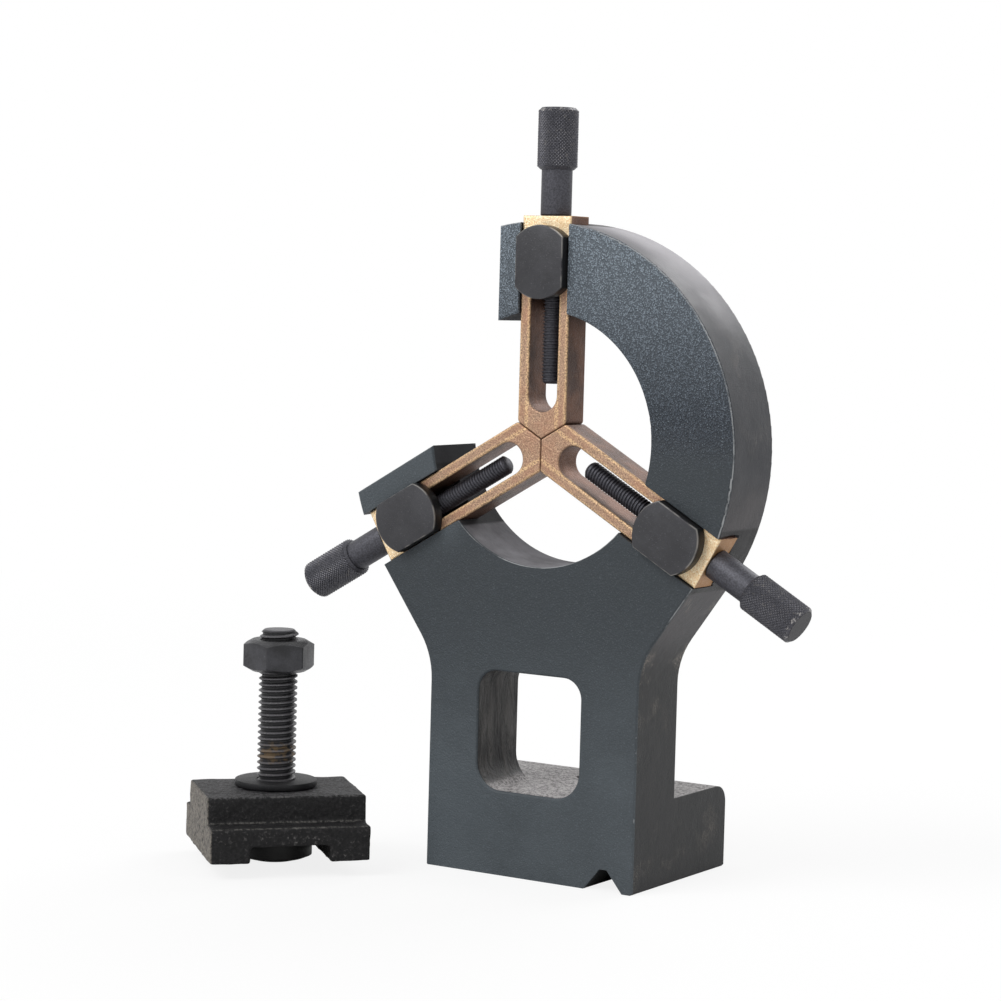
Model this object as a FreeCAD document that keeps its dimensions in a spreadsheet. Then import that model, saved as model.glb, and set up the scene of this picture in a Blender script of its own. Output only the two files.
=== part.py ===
import FreeCAD, Part
import math
import os
import Sketcher

# A lathe steady rest: a cast C-shaped frame with three bronze jaws, each moved by a knurled
# screw and held by a cross-drilled bolt, and the bed clamp that stands beside it.
# Millimetres, +Z up. The origin is on the axis of the stud hole, in the seat of the foot.
# The work axis is parallel to Y, and the jaws face -Y.

SIZES = [
    # The casting
    ("centre_height", 90.0, "work axis above the seat"),
    ("ring_outer", 45.5, "outer radius of the ring"),
    ("ring_shift", -0.8, "outer round's middle from the work axis, sideways"),
    ("ring_drop", 1.4, "outer round's middle below the work axis"),
    ("ring_inner", 26.05, "inner radius of the ring"),
    ("frame_depth", 16.8, "thickness of ring and leg"),
    ("arm_spacing", 120.0, "angle between the jaws, degrees"),
    ("arm_half_width", 10.7, "jaw axis to the arm's open side"),
    ("base_width", 49.6, "width of leg and foot"),
    ("foot_depth", 38.6, "front face to the back of the foot"),
    ("foot_height", 17.4, "height of the foot"),
    ("foot_corner", 3.8, "round at the top of the foot's back edge"),
    ("flank_radius", 16.0, "hollow round above the waist"),
    ("flank_lean", 35.5, "lean of the flank from upright, degrees"),
    ("window_width", 24.6, "width of the window in the leg"),
    ("window_shift", -0.7, "window's middle from the work axis"),
    ("window_top", 42.0, "top of the window above the seat"),
    ("window_draft", 3.0, "draft of the window's walls, degrees"),
    ("window_upper_corner", 4.2, "round of the window's upper corners"),
    ("window_lower_corner", 5.6, "round of the window's lower corners"),
    ("vee_place", 18.0, "middle of the vee groove from the work axis"),
    ("vee_width", 9.0, "width of the vee groove at the seat"),
    ("vee_flat", 1.7, "flat at the bottom of the vee groove"),
    ("vee_height", 4.4, "height of the vee groove"),
    ("stud_hole", 9.0, "diameter of the stud hole in the foot"),
    ("stud_setback", 27.5, "front face to the axis of the stud hole"),
    ("back_round", 0.65, "round of the casting's rear edges"),
    ("front_round", 0.5, "round of the casting's front edges"),
    ("seat_break", 0.4, "small bevel along both sides of the seat"),
    # Jaws
    ("jaw_width", 11.4, "width of a jaw"),
    ("jaw_depth", 7.0, "thickness of a jaw"),
    ("jaw_length", 45.2, "point to outer end"),
    ("jaw_recess", 0.8, "jaw face behind the casting's face"),
    ("slot_width", 6.8, "width of the slot in a jaw"),
    ("slot_land", 5.5, "jaw's point to the slot"),
    ("end_block", 4.8, "slot to the jaw's outer end"),
    ("jaw_edge", 0.4, "round of the jaw's front edges"),
    ("shoulder_round", 0.9, "round of the corners behind the point"),
    ("tip_gap", 0.1, "gap between the points when closed"),
    ("side_play", 0.1, "jaw to the channel wall, each side"),
    ("slide_play", 0.05, "jaw to the channel floor and bolt head"),
    # Adjusting screws
    ("screw_thread", 4.0, "outer diameter of the adjusting thread"),
    ("screw_end", 11.2, "jaw's point to the end of the screw"),
    ("screw_point", 0.7, "bevel at the end of the screw"),
    ("neck_diameter", 6.3, "plain neck of the screw"),
    ("neck_length", 9.3, "length of the neck"),
    ("head_diameter", 8.3, "knurled head of the screw"),
    ("head_length", 12.5, "length of the knurled head"),
    ("head_bevel", 0.5, "bevel at both ends of the head"),
    ("collar_diameter", 6.0, "retaining collar on the screw"),
    ("collar_length", 1.3, "length of the retaining collar"),
    ("end_play", 0.1, "neck and collar to the jaw's end block"),
    ("thread_play", 0.05, "radial play of the screw in its hole"),
    # Jaw bolts, with their washers and nuts
    ("bolt_diameter", 6.0, "shank of a jaw bolt"),
    ("bolt_head", 15.0, "diameter of the bolt's head"),
    ("bolt_flats", 11.2, "width over the head's two flats"),
    ("bolt_head_depth", 2.8, "thickness of the head"),
    ("bolt_head_bevel", 0.4, "bevel round the head's face"),
    ("bolt_hole", 6.4, "hole for the bolt in the casting"),
    ("bolt_tail", 1.8, "bolt past its nut"),
    ("washer_diameter", 12.0, "washer behind the casting"),
    ("washer_depth", 1.6, "thickness of that washer"),
    ("nut_flats", 10.0, "width over the nut's flats"),
    ("nut_depth", 5.0, "thickness of the nut"),
    ("fit_play", 0.02, "radial play of washers and nuts that stay put"),
    ("nut_bevel", 0.4, "how far a nut's corners are turned off inside its flats"),
    ("nut_bevel_angle", 30.0, "slope of that bevel, degrees"),
    # The bed clamp beside the casting
    ("block_length", 33.2, "length of the clamp block"),
    ("block_width", 32.7, "width over the block's ledges"),
    ("block_top_width", 23.0, "width of the block's top"),
    ("block_height", 13.0, "height of the block"),
    ("ledge_height", 7.5, "height of the ledges"),
    ("block_round", 0.9, "round of the block's cast edges"),
    ("block_lift", 3.0, "block's underside above the floor"),
    ("groove_width", 16.0, "groove under the block"),
    ("groove_height", 3.35, "height of that groove"),
    ("clamp_hole_shift", 2.0, "clamp bolt behind the middle of the block"),
    ("clamp_head", 15.6, "diameter of the clamp bolt's head"),
    ("clamp_head_dome", 1.7, "height of the dome under the head"),
    ("clamp_thread", 8.0, "outer diameter of the clamp bolt"),
    ("clamp_square", 8.0, "square neck above the head"),
    ("clamp_square_length", 4.5, "length of the square neck"),
    ("clamp_bolt_top", 48.5, "end of the clamp bolt above the floor"),
    ("clamp_bolt_bevel", 1.0, "bevel at the end of the clamp bolt"),
    ("clamp_washer", 17.0, "diameter of the clamp washer"),
    ("clamp_washer_depth", 1.3, "thickness of the clamp washer"),
    ("clamp_nut_flats", 13.0, "width over the clamp nut's flats"),
    ("clamp_nut_depth", 6.5, "thickness of the clamp nut"),
    ("clamp_nut_place", 39.9, "underside of the clamp nut above the floor"),
    ("clamp_left", 51.0, "work axis to the clamp bolt"),
    ("clamp_forward", 45.15, "stud hole to the clamp bolt, forward"),
    ("clamp_angle", 47.8, "turn of the block on the floor, degrees"),
]

DOC = FreeCAD.newDocument("steady_rest")
SHEET = DOC.addObject("Spreadsheet::Sheet", "sizes")
for row, (alias, number, note) in enumerate(SIZES, start=1):
    SHEET.set("A%d" % row, note)
    SHEET.set("B%d" % row, str(number))
    SHEET.setAlias("B%d" % row, alias)
DOC.recompute()

# Places that follow from the sizes
HALF_BASE = "sizes.base_width / 2"
FRONT = "-sizes.stud_setback"
BACK = "(sizes.frame_depth - sizes.stud_setback)"
JAW_FACE = "(sizes.jaw_recess - sizes.stud_setback)"
JAW_MIDDLE = "(sizes.jaw_recess + sizes.jaw_depth / 2 - sizes.stud_setback)"
BOLT_RADIUS = "(sizes.ring_inner + sizes.ring_outer) / 2"
SLOT_END = "(sizes.jaw_length - sizes.end_block)"
HEAD_SEAT = "(sizes.block_lift + sizes.groove_height)"
HEX_CORNERS = 6
FULL_TURN = 360.0
HALF_TURN = FULL_TURN / 2
TINY = 1e-4

# Each arm's turn about the work axis, then how far its jaw reaches towards the next jaw on its
# left and on its right: half of the angle between the two.
UPPER_HALF = "(sizes.arm_spacing / 2)"
LOWER_HALF = "(%g - sizes.arm_spacing)" % HALF_TURN
ARMS = {
    "top": ("0", UPPER_HALF, UPPER_HALF),
    "right": ("sizes.arm_spacing", UPPER_HALF, LOWER_HALF),
    "left": ("-sizes.arm_spacing", LOWER_HALF, UPPER_HALF),
}


def value(formula):
    """The number that a formula of the sheet's names gives."""
    result = SHEET.evalExpression(formula)
    return float(getattr(result, "Value", result))


def new_body(label):
    """An empty body that is named after its piece."""
    body = DOC.addObject("PartDesign::Body", label)
    body.Label = label
    return body


def new_sketch(body, plane, name, rise="0", forward="0", turn=None):
    """A sketch on one of the body's own planes, moved along its second axis and its normal, and
    turned in its plane."""
    sketch = body.newObject("Sketcher::SketchObject", body.Name + "_" + name)
    role = next(part for part in body.Origin.OriginFeatures if part.Role == plane)
    sketch.AttachmentSupport = [(role, "")]
    sketch.MapMode = "FlatFace"
    sketch.setExpression("AttachmentOffset.Base.y", rise)
    sketch.setExpression("AttachmentOffset.Base.z", forward)
    if turn:
        sketch.setExpression("AttachmentOffset.Rotation.Angle", turn)
        DOC.recompute()
    return sketch


def bind(sketch, kind, *geometry, formula):
    """Adds a measured constraint and ties it to the sheet."""
    number = sketch.addConstraint(Sketcher.Constraint(kind, *geometry, value(formula)))
    sketch.setExpression("Constraints[%d]" % number, formula)


def circle(sketch, radius, across="0", up="0"):
    """A circle at a place that the sheet gives."""
    centre = FreeCAD.Vector(value(across), value(up), 0)
    normal = FreeCAD.Vector(0, 0, 1)
    index = sketch.addGeometry(Part.Circle(centre, normal, value(radius)), False)
    bind(sketch, "DistanceX", -1, 1, index, 3, formula=across)
    bind(sketch, "DistanceY", -1, 1, index, 3, formula=up)
    bind(sketch, "Radius", index, formula=radius)


def arc_between(start, end, radius, clockwise):
    """The shorter arc of a given radius between two points."""
    chord = end - start
    reach = math.sqrt(max(radius ** 2 - (chord.Length / 2) ** 2, 0.0))
    across = FreeCAD.Vector(-chord.y, chord.x, 0).normalize()
    centre = (start + end) / 2 + across * (-reach if clockwise else reach)
    first, last = (end, start) if clockwise else (start, end)
    angles = [math.atan2(point.y - centre.y, point.x - centre.x) for point in (first, last)]
    base = Part.Circle(centre, FreeCAD.Vector(0, 0, 1), radius)
    return Part.ArcOfCircle(base, angles[0], angles[1])


def outline(sketch, corners):
    """A closed outline. A corner is (across, up), and (across, up, radius, turn) where an arc
    leads on from it, which turns left or right on its way to the next corner."""
    points = [FreeCAD.Vector(value(corner[0]), value(corner[1]), 0) for corner in corners]
    ends = []
    for index, corner in enumerate(corners):
        start = points[index]
        end = points[(index + 1) % len(points)]
        if len(corner) == 2:
            edge = sketch.addGeometry(Part.LineSegment(start, end), False)
            ends.append((edge, 1, 2))
            continue
        clockwise = corner[3] == "right"
        edge = sketch.addGeometry(arc_between(start, end, value(corner[2]), clockwise), False)
        ends.append((edge, 2, 1) if clockwise else (edge, 1, 2))
    for index, corner in enumerate(corners):
        edge, first, last = ends[index]
        after, after_first, _ = ends[(index + 1) % len(ends)]
        sketch.addConstraint(Sketcher.Constraint("Coincident", edge, last, after, after_first))
        bind(sketch, "DistanceX", -1, 1, edge, first, formula=corner[0])
        bind(sketch, "DistanceY", -1, 1, edge, first, formula=corner[1])
        if len(corner) > 2:
            bind(sketch, "Radius", edge, formula=corner[2])


def rectangle(sketch, left, bottom, right, top):
    """A rectangle between four formulas."""
    outline(sketch, [(left, bottom), (right, bottom), (right, top), (left, top)])


def polygon(sketch, flats):
    """A regular hexagon about the sketch's origin, from its width over flats."""
    corners = []
    for index in range(HEX_CORNERS):
        turn = index * FULL_TURN / HEX_CORNERS
        radius = "%s / 2 / cos(%g)" % (flats, FULL_TURN / HEX_CORNERS / 2)
        corners.append(("%s * cos(%g)" % (radius, turn), "%s * sin(%g)" % (radius, turn)))
    outline(sketch, corners)


def pad(body, sketch, length, reverse=False, middle=False):
    """Adds material along the sketch's normal."""
    feature = body.newObject("PartDesign::Pad", sketch.Name + "_pad")
    feature.Profile = sketch
    feature.setExpression("Length", length)
    feature.Reversed = reverse
    feature.Midplane = middle
    DOC.recompute()
    return feature


def pocket(body, sketch, length=None, reverse=False, middle=False, draft=None):
    """Removes material through all, or to a length, and makes sure that it did."""
    before = body.Shape.Volume
    feature = body.newObject("PartDesign::Pocket", sketch.Name + "_cut")
    feature.Profile = sketch
    if length is None:
        feature.Type = "ThroughAll"
    else:
        feature.setExpression("Length", length)
    if draft:
        feature.setExpression("TaperAngle", draft)
    feature.Reversed = reverse
    feature.Midplane = middle
    DOC.recompute()
    if not feature.Shape.Volume < before - TINY:
        raise RuntimeError(feature.Name + " cut nothing")
    return feature


def revolve(body, sketch):
    """Turns a half section about the upright axis of its sketch."""
    feature = body.newObject("PartDesign::Revolution", sketch.Name + "_turned")
    feature.Profile = sketch
    feature.ReferenceAxis = (sketch, ["V_Axis"])
    feature.Angle = FULL_TURN
    DOC.recompute()
    return feature


def groove(body, sketch):
    """Turns material away about the upright axis of its sketch."""
    before = body.Shape.Volume
    feature = body.newObject("PartDesign::Groove", sketch.Name + "_turned")
    feature.Profile = sketch
    feature.ReferenceAxis = (sketch, ["V_Axis"])
    feature.Angle = FULL_TURN
    DOC.recompute()
    if not feature.Shape.Volume < before - TINY:
        raise RuntimeError(feature.Name + " cut nothing")


def dress(body, kind, size, wanted):
    """Rounds or bevels the edges of the body that a test picks out."""
    base = body.Tip
    names = ["Edge%d" % (index + 1) for index, edge in enumerate(base.Shape.Edges) if wanted(edge)]
    if not names:
        raise RuntimeError("no edge to dress on " + body.Name)
    feature = body.newObject("PartDesign::" + kind, body.Name + "_" + kind.lower())
    feature.Base = (base, names)
    feature.setExpression("Radius" if kind == "Fillet" else "Size", size)
    DOC.recompute()
    if "Invalid" in feature.State:
        raise RuntimeError(feature.Name + " failed")


def edge_box(edge):
    """The lowest and highest corner of an edge."""
    box = edge.BoundBox
    return box.XMin, box.YMin, box.ZMin, box.XMax, box.YMax, box.ZMax


def lies_at(edge, axis, place):
    """Whether the whole edge lies in a plane square to an axis (0, 1 or 2)."""
    box = edge_box(edge)
    return abs(box[axis] - place) < TINY and abs(box[axis + 3] - place) < TINY


def make_frame():
    """The casting: ring, leg and foot in one piece, with its channels and holes."""
    body = new_body("frame")
    centre = "sizes.centre_height"

    # Each flank is a straight line between the ring and a hollow round, and touches both. The
    # ring's outer round is cast a little off the work axis, so the waists differ in height.
    ring_height = "(sizes.centre_height - sizes.ring_drop)"
    reach = "(sizes.ring_outer * cos(sizes.flank_lean))"
    touch_top = "(%s - sizes.ring_outer * sin(sizes.flank_lean))" % ring_height
    hollow_side = "(sizes.base_width / 2 + sizes.flank_radius * (1 - cos(sizes.flank_lean)))"
    hollow_rise = "sizes.flank_radius * sin(sizes.flank_lean)"
    waist = ("(" + ring_height + " - (sizes.ring_outer + sizes.flank_radius"
             " - (sizes.base_width / 2 + sizes.flank_radius %s sizes.ring_shift)"
             " * cos(sizes.flank_lean)) / sin(sizes.flank_lean))")
    right_waist = waist % "-"
    left_waist = waist % "+"
    plate = new_sketch(body, "XZ_Plane", "plate")
    outline(plate, [
        ("-" + HALF_BASE, "0"),
        (HALF_BASE, "0"),
        (HALF_BASE, right_waist, "sizes.flank_radius", "right"),
        (hollow_side, right_waist + " + " + hollow_rise),
        ("sizes.ring_shift + " + reach, touch_top, "sizes.ring_outer", "left"),
        ("sizes.ring_shift - sizes.ring_outer * sin(sizes.arm_spacing / 4)",
         ring_height + " + sizes.ring_outer * cos(sizes.arm_spacing / 4)",
         "sizes.ring_outer", "left"),
        ("sizes.ring_shift - " + reach, touch_top),
        ("-" + hollow_side, left_waist + " + " + hollow_rise, "sizes.flank_radius", "right"),
        ("-" + HALF_BASE, left_waist),
    ])
    pad(body, plate, "sizes.frame_depth", reverse=True)

    bore = new_sketch(body, "XZ_Plane", "bore", rise=centre)
    circle(bore, "sizes.ring_inner")
    pocket(body, bore)

    # The mouth between the top and left arms, which lets the work in
    mouth = new_sketch(body, "XZ_Plane", "mouth", rise=centre)
    half = "sizes.arm_half_width"
    far = "(2 * sizes.ring_outer)"
    inner = "%s * (1 + cos(sizes.arm_spacing)) / sin(sizes.arm_spacing)" % half
    outline(mouth, [
        ("-" + half, inner),
        ("-" + half, far),
        ("-" + far, far),
        ("-%s - %s * sin(sizes.arm_spacing)" % (half, far),
         "%s + %s * cos(sizes.arm_spacing)" % (inner, far)),
    ])
    pocket(body, mouth)

    # The rear edges are rounded more than the front ones.
    depth = value("sizes.frame_depth")
    foot_top = value("sizes.foot_height")
    dress(body, "Fillet", "sizes.back_round",
          lambda edge: lies_at(edge, 1, depth) and edge_box(edge)[5] > foot_top - TINY)

    window = new_sketch(body, "XZ_Plane", "window")
    left = "(sizes.window_shift - sizes.window_width / 2)"
    right = "(sizes.window_shift + sizes.window_width / 2)"
    upper = "sizes.window_upper_corner"
    lower = "sizes.window_lower_corner"
    outline(window, [
        (left + " + " + lower, "sizes.foot_height"),
        (right + " - " + lower, "sizes.foot_height", lower, "left"),
        (right, "sizes.foot_height + " + lower),
        (right, "sizes.window_top - " + upper, upper, "left"),
        (right + " - " + upper, "sizes.window_top"),
        (left + " + " + upper, "sizes.window_top", upper, "left"),
        (left, "sizes.window_top - " + upper),
        (left, "sizes.foot_height + " + lower, lower, "left"),
    ])
    pocket(body, window, "sizes.frame_depth", draft="sizes.window_draft")

    dress(body, "Fillet", "sizes.front_round",
          lambda edge: lies_at(edge, 1, 0.0) and edge_box(edge)[5] > foot_top - TINY)

    foot = new_sketch(body, "XZ_Plane", "foot", forward="-2 * sizes.front_round")
    outline(foot, [
        ("-" + HALF_BASE, "0"),
        (HALF_BASE, "0"),
        (HALF_BASE, "sizes.foot_height"),
        ("-" + HALF_BASE, "sizes.foot_height"),
    ])
    pad(body, foot, "sizes.foot_depth - 2 * sizes.front_round", reverse=True)
    foot_back = value("sizes.foot_depth")
    dress(body, "Fillet", "sizes.foot_corner",
          lambda edge: lies_at(edge, 1, foot_back) and lies_at(edge, 2, foot_top))

    # Each arm has a channel for its jaw and a hole for its bolt.
    wall = "(sizes.jaw_width / 2 + sizes.side_play)"
    for name, (angle, _, _) in ARMS.items():
        turn = "-(%s)" % angle
        channel = new_sketch(body, "XZ_Plane", name + "_channel", rise=centre, turn=turn)
        rectangle(channel, "-" + wall, "sizes.ring_inner / 2", wall, far)
        pocket(body, channel, "sizes.jaw_recess + sizes.jaw_depth + sizes.slide_play")
        hole = new_sketch(body, "XZ_Plane", name + "_bolt_hole", rise=centre, turn=turn)
        circle(hole, "sizes.bolt_hole / 2", up=BOLT_RADIUS)
        pocket(body, hole)

    vee = new_sketch(body, "XZ_Plane", "vee")
    outline(vee, [
        ("sizes.vee_place - sizes.vee_width / 2", "0"),
        ("sizes.vee_place + sizes.vee_width / 2", "0"),
        ("sizes.vee_place + sizes.vee_flat / 2", "sizes.vee_height"),
        ("sizes.vee_place - sizes.vee_flat / 2", "sizes.vee_height"),
    ])
    pocket(body, vee)

    stud = new_sketch(body, "XY_Plane", "stud_hole")
    circle(stud, "sizes.stud_hole / 2", up="sizes.stud_setback")
    pocket(body, stud, reverse=True)

    bevels = new_sketch(body, "XZ_Plane", "seat_bevels")
    for side in ("", "-"):
        outline(bevels, [
            (side + "(" + HALF_BASE + " - sizes.seat_break)", "0"),
            (side + HALF_BASE, "0"),
            (side + HALF_BASE, "sizes.seat_break"),
        ])
    pocket(body, bevels)
    body.setExpression("Placement", "placement(vector(0; %s; 0); rotation(vector(0; 0; 1); 0))" % FRONT)
    return body


def arm_place(angle, forward, rise="0", turn="rotation(vector(0; 0; 1); 0)"):
    """A placement on one arm: turned about the work axis, then forward and up the arm."""
    arm = "placement(vector(0; %s; sizes.centre_height); rotation(vector(0; 1; 0); %s))"
    local = "placement(vector(0; 0; %s); %s)"
    return (arm % (forward, angle)) + " * " + (local % (rise, turn))


def make_jaw(name, angle, left_half, right_half):
    """A cast bar with a pointed end, a long slot and a bore for its screw."""
    body = new_body(name + "_jaw")
    half = "sizes.jaw_width / 2"
    # The point's two faces run along the lines halfway to the next jaws, half a gap off them.
    gap = "sizes.tip_gap / 2"
    both = "sin(%s + %s)" % (left_half, right_half)
    point_across = "(%s * (sin(%s) - sin(%s)) / %s)" % (gap, right_half, left_half, both)
    point = "(%s * (cos(%s) + cos(%s)) / %s)" % (gap, right_half, left_half, both)
    shoulder = "((%s + %s * cos(%s)) / sin(%s))"
    left_shoulder = shoulder % (gap, half, left_half, left_half)
    right_shoulder = shoulder % (gap, half, right_half, right_half)
    bar = new_sketch(body, "XZ_Plane", "bar")
    outline(bar, [
        (point_across, point),
        (half, right_shoulder),
        (half, "sizes.jaw_length"),
        ("-" + half, "sizes.jaw_length"),
        ("-" + half, left_shoulder),
    ])
    pad(body, bar, "sizes.jaw_depth", reverse=True)

    slot = new_sketch(body, "XZ_Plane", "slot")
    side = "sizes.slot_width / 2"
    outline(slot, [
        ("-" + side, "sizes.slot_land + " + side, side, "left"),
        ("0", "sizes.slot_land", side, "left"),
        (side, "sizes.slot_land + " + side),
        (side, SLOT_END),
        ("-" + side, SLOT_END),
    ])
    pocket(body, slot)

    bore = new_sketch(body, "XY_Plane", "bore", forward="sizes.jaw_length")
    circle(bore, "sizes.screw_thread / 2 + sizes.thread_play", up="sizes.jaw_depth / 2")
    pocket(body, bore, "sizes.end_block + sizes.slot_width / 2")

    corners = [(-value(half), value(left_shoulder)), (value(half), value(right_shoulder))]

    def shoulder_edge(edge):
        return any(lies_at(edge, 0, across) and lies_at(edge, 2, up) for across, up in corners)

    def front_edge(edge):
        return lies_at(edge, 1, 0.0)

    dress(body, "Fillet", "sizes.shoulder_round", shoulder_edge)
    dress(body, "Fillet", "sizes.jaw_edge", front_edge)
    body.setExpression("Placement", arm_place(angle, JAW_FACE))
    return body


def make_screw(name, angle):
    """The adjusting screw: knurled head, plain neck and threaded shank."""
    body = new_body(name + "_screw")
    shank = "sizes.screw_thread / 2"
    neck = "sizes.neck_diameter / 2"
    head = "sizes.head_diameter / 2"
    seat = "(sizes.jaw_length + sizes.end_play)"
    head_start = "(%s + sizes.neck_length)" % seat
    head_end = "(%s + sizes.head_length)" % head_start
    half = new_sketch(body, "XZ_Plane", "half")
    outline(half, [
        ("0", "sizes.screw_end"),
        (shank + " - sizes.screw_point", "sizes.screw_end"),
        (shank, "sizes.screw_end + sizes.screw_point"),
        (shank, seat),
        (neck, seat),
        (neck, head_start),
        (head + " - sizes.head_bevel", head_start),
        (head, head_start + " + sizes.head_bevel"),
        (head, head_end + " - sizes.head_bevel"),
        (head + " - sizes.head_bevel", head_end),
        ("0", head_end),
    ])
    revolve(body, half)
    body.setExpression("Placement", arm_place(angle, JAW_MIDDLE))
    return body


def make_collar(name, angle):
    """The collar inside the slot that makes the jaw follow its screw both ways."""
    body = new_body(name + "_screw_collar")
    half = new_sketch(body, "XZ_Plane", "half")
    top = "(%s - sizes.end_play)" % SLOT_END
    rectangle(half, "sizes.screw_thread / 2 + sizes.fit_play", top + " - sizes.collar_length",
              "sizes.collar_diameter / 2", top)
    revolve(body, half)
    body.setExpression("Placement", arm_place(angle, JAW_MIDDLE))
    return body


def make_bolt(name, angle):
    """The jaw bolt: a round head with two flats, and a cross-drilled shank."""
    body = new_body(name + "_jaw_bolt")
    shank = "sizes.bolt_diameter / 2"
    # The shank ends past its nut. Its length starts at the underside of the head.
    end = ("(sizes.slide_play + sizes.frame_depth - sizes.jaw_recess + sizes.washer_depth"
           " + sizes.nut_depth + sizes.bolt_tail)")
    half = new_sketch(body, "XZ_Plane", "half")
    outline(half, [
        ("0", "-sizes.bolt_head_depth"),
        ("sizes.bolt_head / 2", "-sizes.bolt_head_depth"),
        ("sizes.bolt_head / 2", "0"),
        (shank, "0"),
        (shank, end + " - sizes.screw_point"),
        (shank + " - sizes.screw_point", end),
        ("0", end),
    ])
    revolve(body, half)

    flats = new_sketch(body, "XY_Plane", "flats")
    edge = "sizes.bolt_flats / 2"
    rectangle(flats, edge, "-sizes.bolt_head", "sizes.bolt_head", "sizes.bolt_head")
    rectangle(flats, "-sizes.bolt_head", "-sizes.bolt_head", "-" + edge, "sizes.bolt_head")
    pocket(body, flats, "sizes.bolt_head_depth + sizes.bolt_head_bevel")

    cross = new_sketch(body, "XZ_Plane", "cross_hole")
    circle(cross, "sizes.screw_thread / 2 + sizes.thread_play",
           up="sizes.slide_play + sizes.jaw_depth / 2")
    pocket(body, cross, middle=True)

    face = -value("sizes.bolt_head_depth")
    dress(body, "Chamfer", "sizes.bolt_head_bevel", lambda item: lies_at(item, 2, face))
    place = arm_place(angle, JAW_FACE + " - sizes.slide_play", BOLT_RADIUS,
                      "rotation(vector(1; 0; 0); -90)")
    body.setExpression("Placement", place)
    return body


def make_washer(label, outer, bore, depth, place):
    """A flat washer, lying on the plane of its own origin."""
    body = new_body(label)
    half = new_sketch(body, "XZ_Plane", "half")
    rectangle(half, bore, "0", outer, depth)
    revolve(body, half)
    body.setExpression("Placement", place)
    return body


def make_nut(label, flats, depth, bore, place):
    """A hexagon nut whose corners are turned off at both faces."""
    body = new_body(label)
    hexagon = new_sketch(body, "XY_Plane", "hexagon")
    polygon(hexagon, flats)
    pad(body, hexagon, depth)
    hole = new_sketch(body, "XY_Plane", "hole")
    circle(hole, bore)
    pocket(body, hole, reverse=True)
    # The corners are turned off to a circle a little inside the flats.
    rim = "(%s / 2 - sizes.nut_bevel)" % flats
    corner = "(%s / 2 / cos(%g) + sizes.nut_bevel)" % (flats, FULL_TURN / HEX_CORNERS / 2)
    drop = "((%s - %s) * tan(sizes.nut_bevel_angle))" % (corner, rim)
    turned = new_sketch(body, "XZ_Plane", "corners")
    outline(turned, [(rim, "0"), (corner, "0"), (corner, drop)])
    outline(turned, [(rim, depth), (corner, depth + " - " + drop), (corner, depth)])
    groove(body, turned)
    body.setExpression("Placement", place)
    return body


def make_arm(name, angle, left_half, right_half):
    """Everything that one arm carries."""
    facing_back = "rotation(vector(1; 0; 0); -90)"
    washer_place = arm_place(angle, BACK, BOLT_RADIUS, facing_back)
    nut_place = arm_place(angle, BACK + " + sizes.washer_depth", BOLT_RADIUS, facing_back)
    bore = "sizes.bolt_diameter / 2 + sizes.fit_play"
    return [
        make_jaw(name, angle, left_half, right_half),
        make_screw(name, angle),
        make_collar(name, angle),
        make_bolt(name, angle),
        make_washer(name + "_washer", "sizes.washer_diameter / 2", bore,
                    "sizes.washer_depth", washer_place),
        make_nut(name + "_nut", "sizes.nut_flats", "sizes.nut_depth", bore, nut_place),
    ]


def clamp_place(rise):
    """A placement on the axis of the bed clamp's bolt."""
    place = "placement(vector(-sizes.clamp_left; -sizes.clamp_forward; %s)"
    return (place % rise) + "; rotation(vector(0; 0; 1); sizes.clamp_angle))"


def make_clamp_block():
    """The stepped block that pulls up under the bed, grooved for the bolt's head."""
    body = new_body("clamp_block")
    front = "(-sizes.block_width / 2 - sizes.clamp_hole_shift)"
    back = "(sizes.block_width / 2 - sizes.clamp_hole_shift)"
    top_front = "(-sizes.block_top_width / 2 - sizes.clamp_hole_shift)"
    top_back = "(sizes.block_top_width / 2 - sizes.clamp_hole_shift)"
    section = new_sketch(body, "YZ_Plane", "section")
    outline(section, [
        (front, "0"),
        (back, "0"),
        (back, "sizes.ledge_height"),
        (top_back, "sizes.ledge_height"),
        (top_back, "sizes.block_height"),
        (top_front, "sizes.block_height"),
        (top_front, "sizes.ledge_height"),
        (front, "sizes.ledge_height"),
    ])
    pad(body, section, "sizes.block_length", middle=True)
    cast_lines = [(value(front), None), (value(back), None)]
    cast_lines += [(value(place), value("sizes.block_height")) for place in (top_front, top_back)]

    def cast_edge(edge):
        return any(lies_at(edge, 1, across) and (up is None or lies_at(edge, 2, up))
                   for across, up in cast_lines)

    dress(body, "Fillet", "sizes.block_round", cast_edge)
    channel = new_sketch(body, "XZ_Plane", "groove")
    rectangle(channel, "-sizes.groove_width / 2", "-sizes.groove_height",
              "sizes.groove_width / 2", "sizes.groove_height")
    pocket(body, channel, middle=True)
    hole = new_sketch(body, "XY_Plane", "square_hole")
    wall = "(sizes.clamp_square / 2 + sizes.fit_play)"
    rectangle(hole, "-" + wall, "-" + wall, wall, wall)
    pocket(body, hole, reverse=True)
    body.setExpression("Placement", clamp_place("sizes.block_lift"))
    return body


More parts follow.
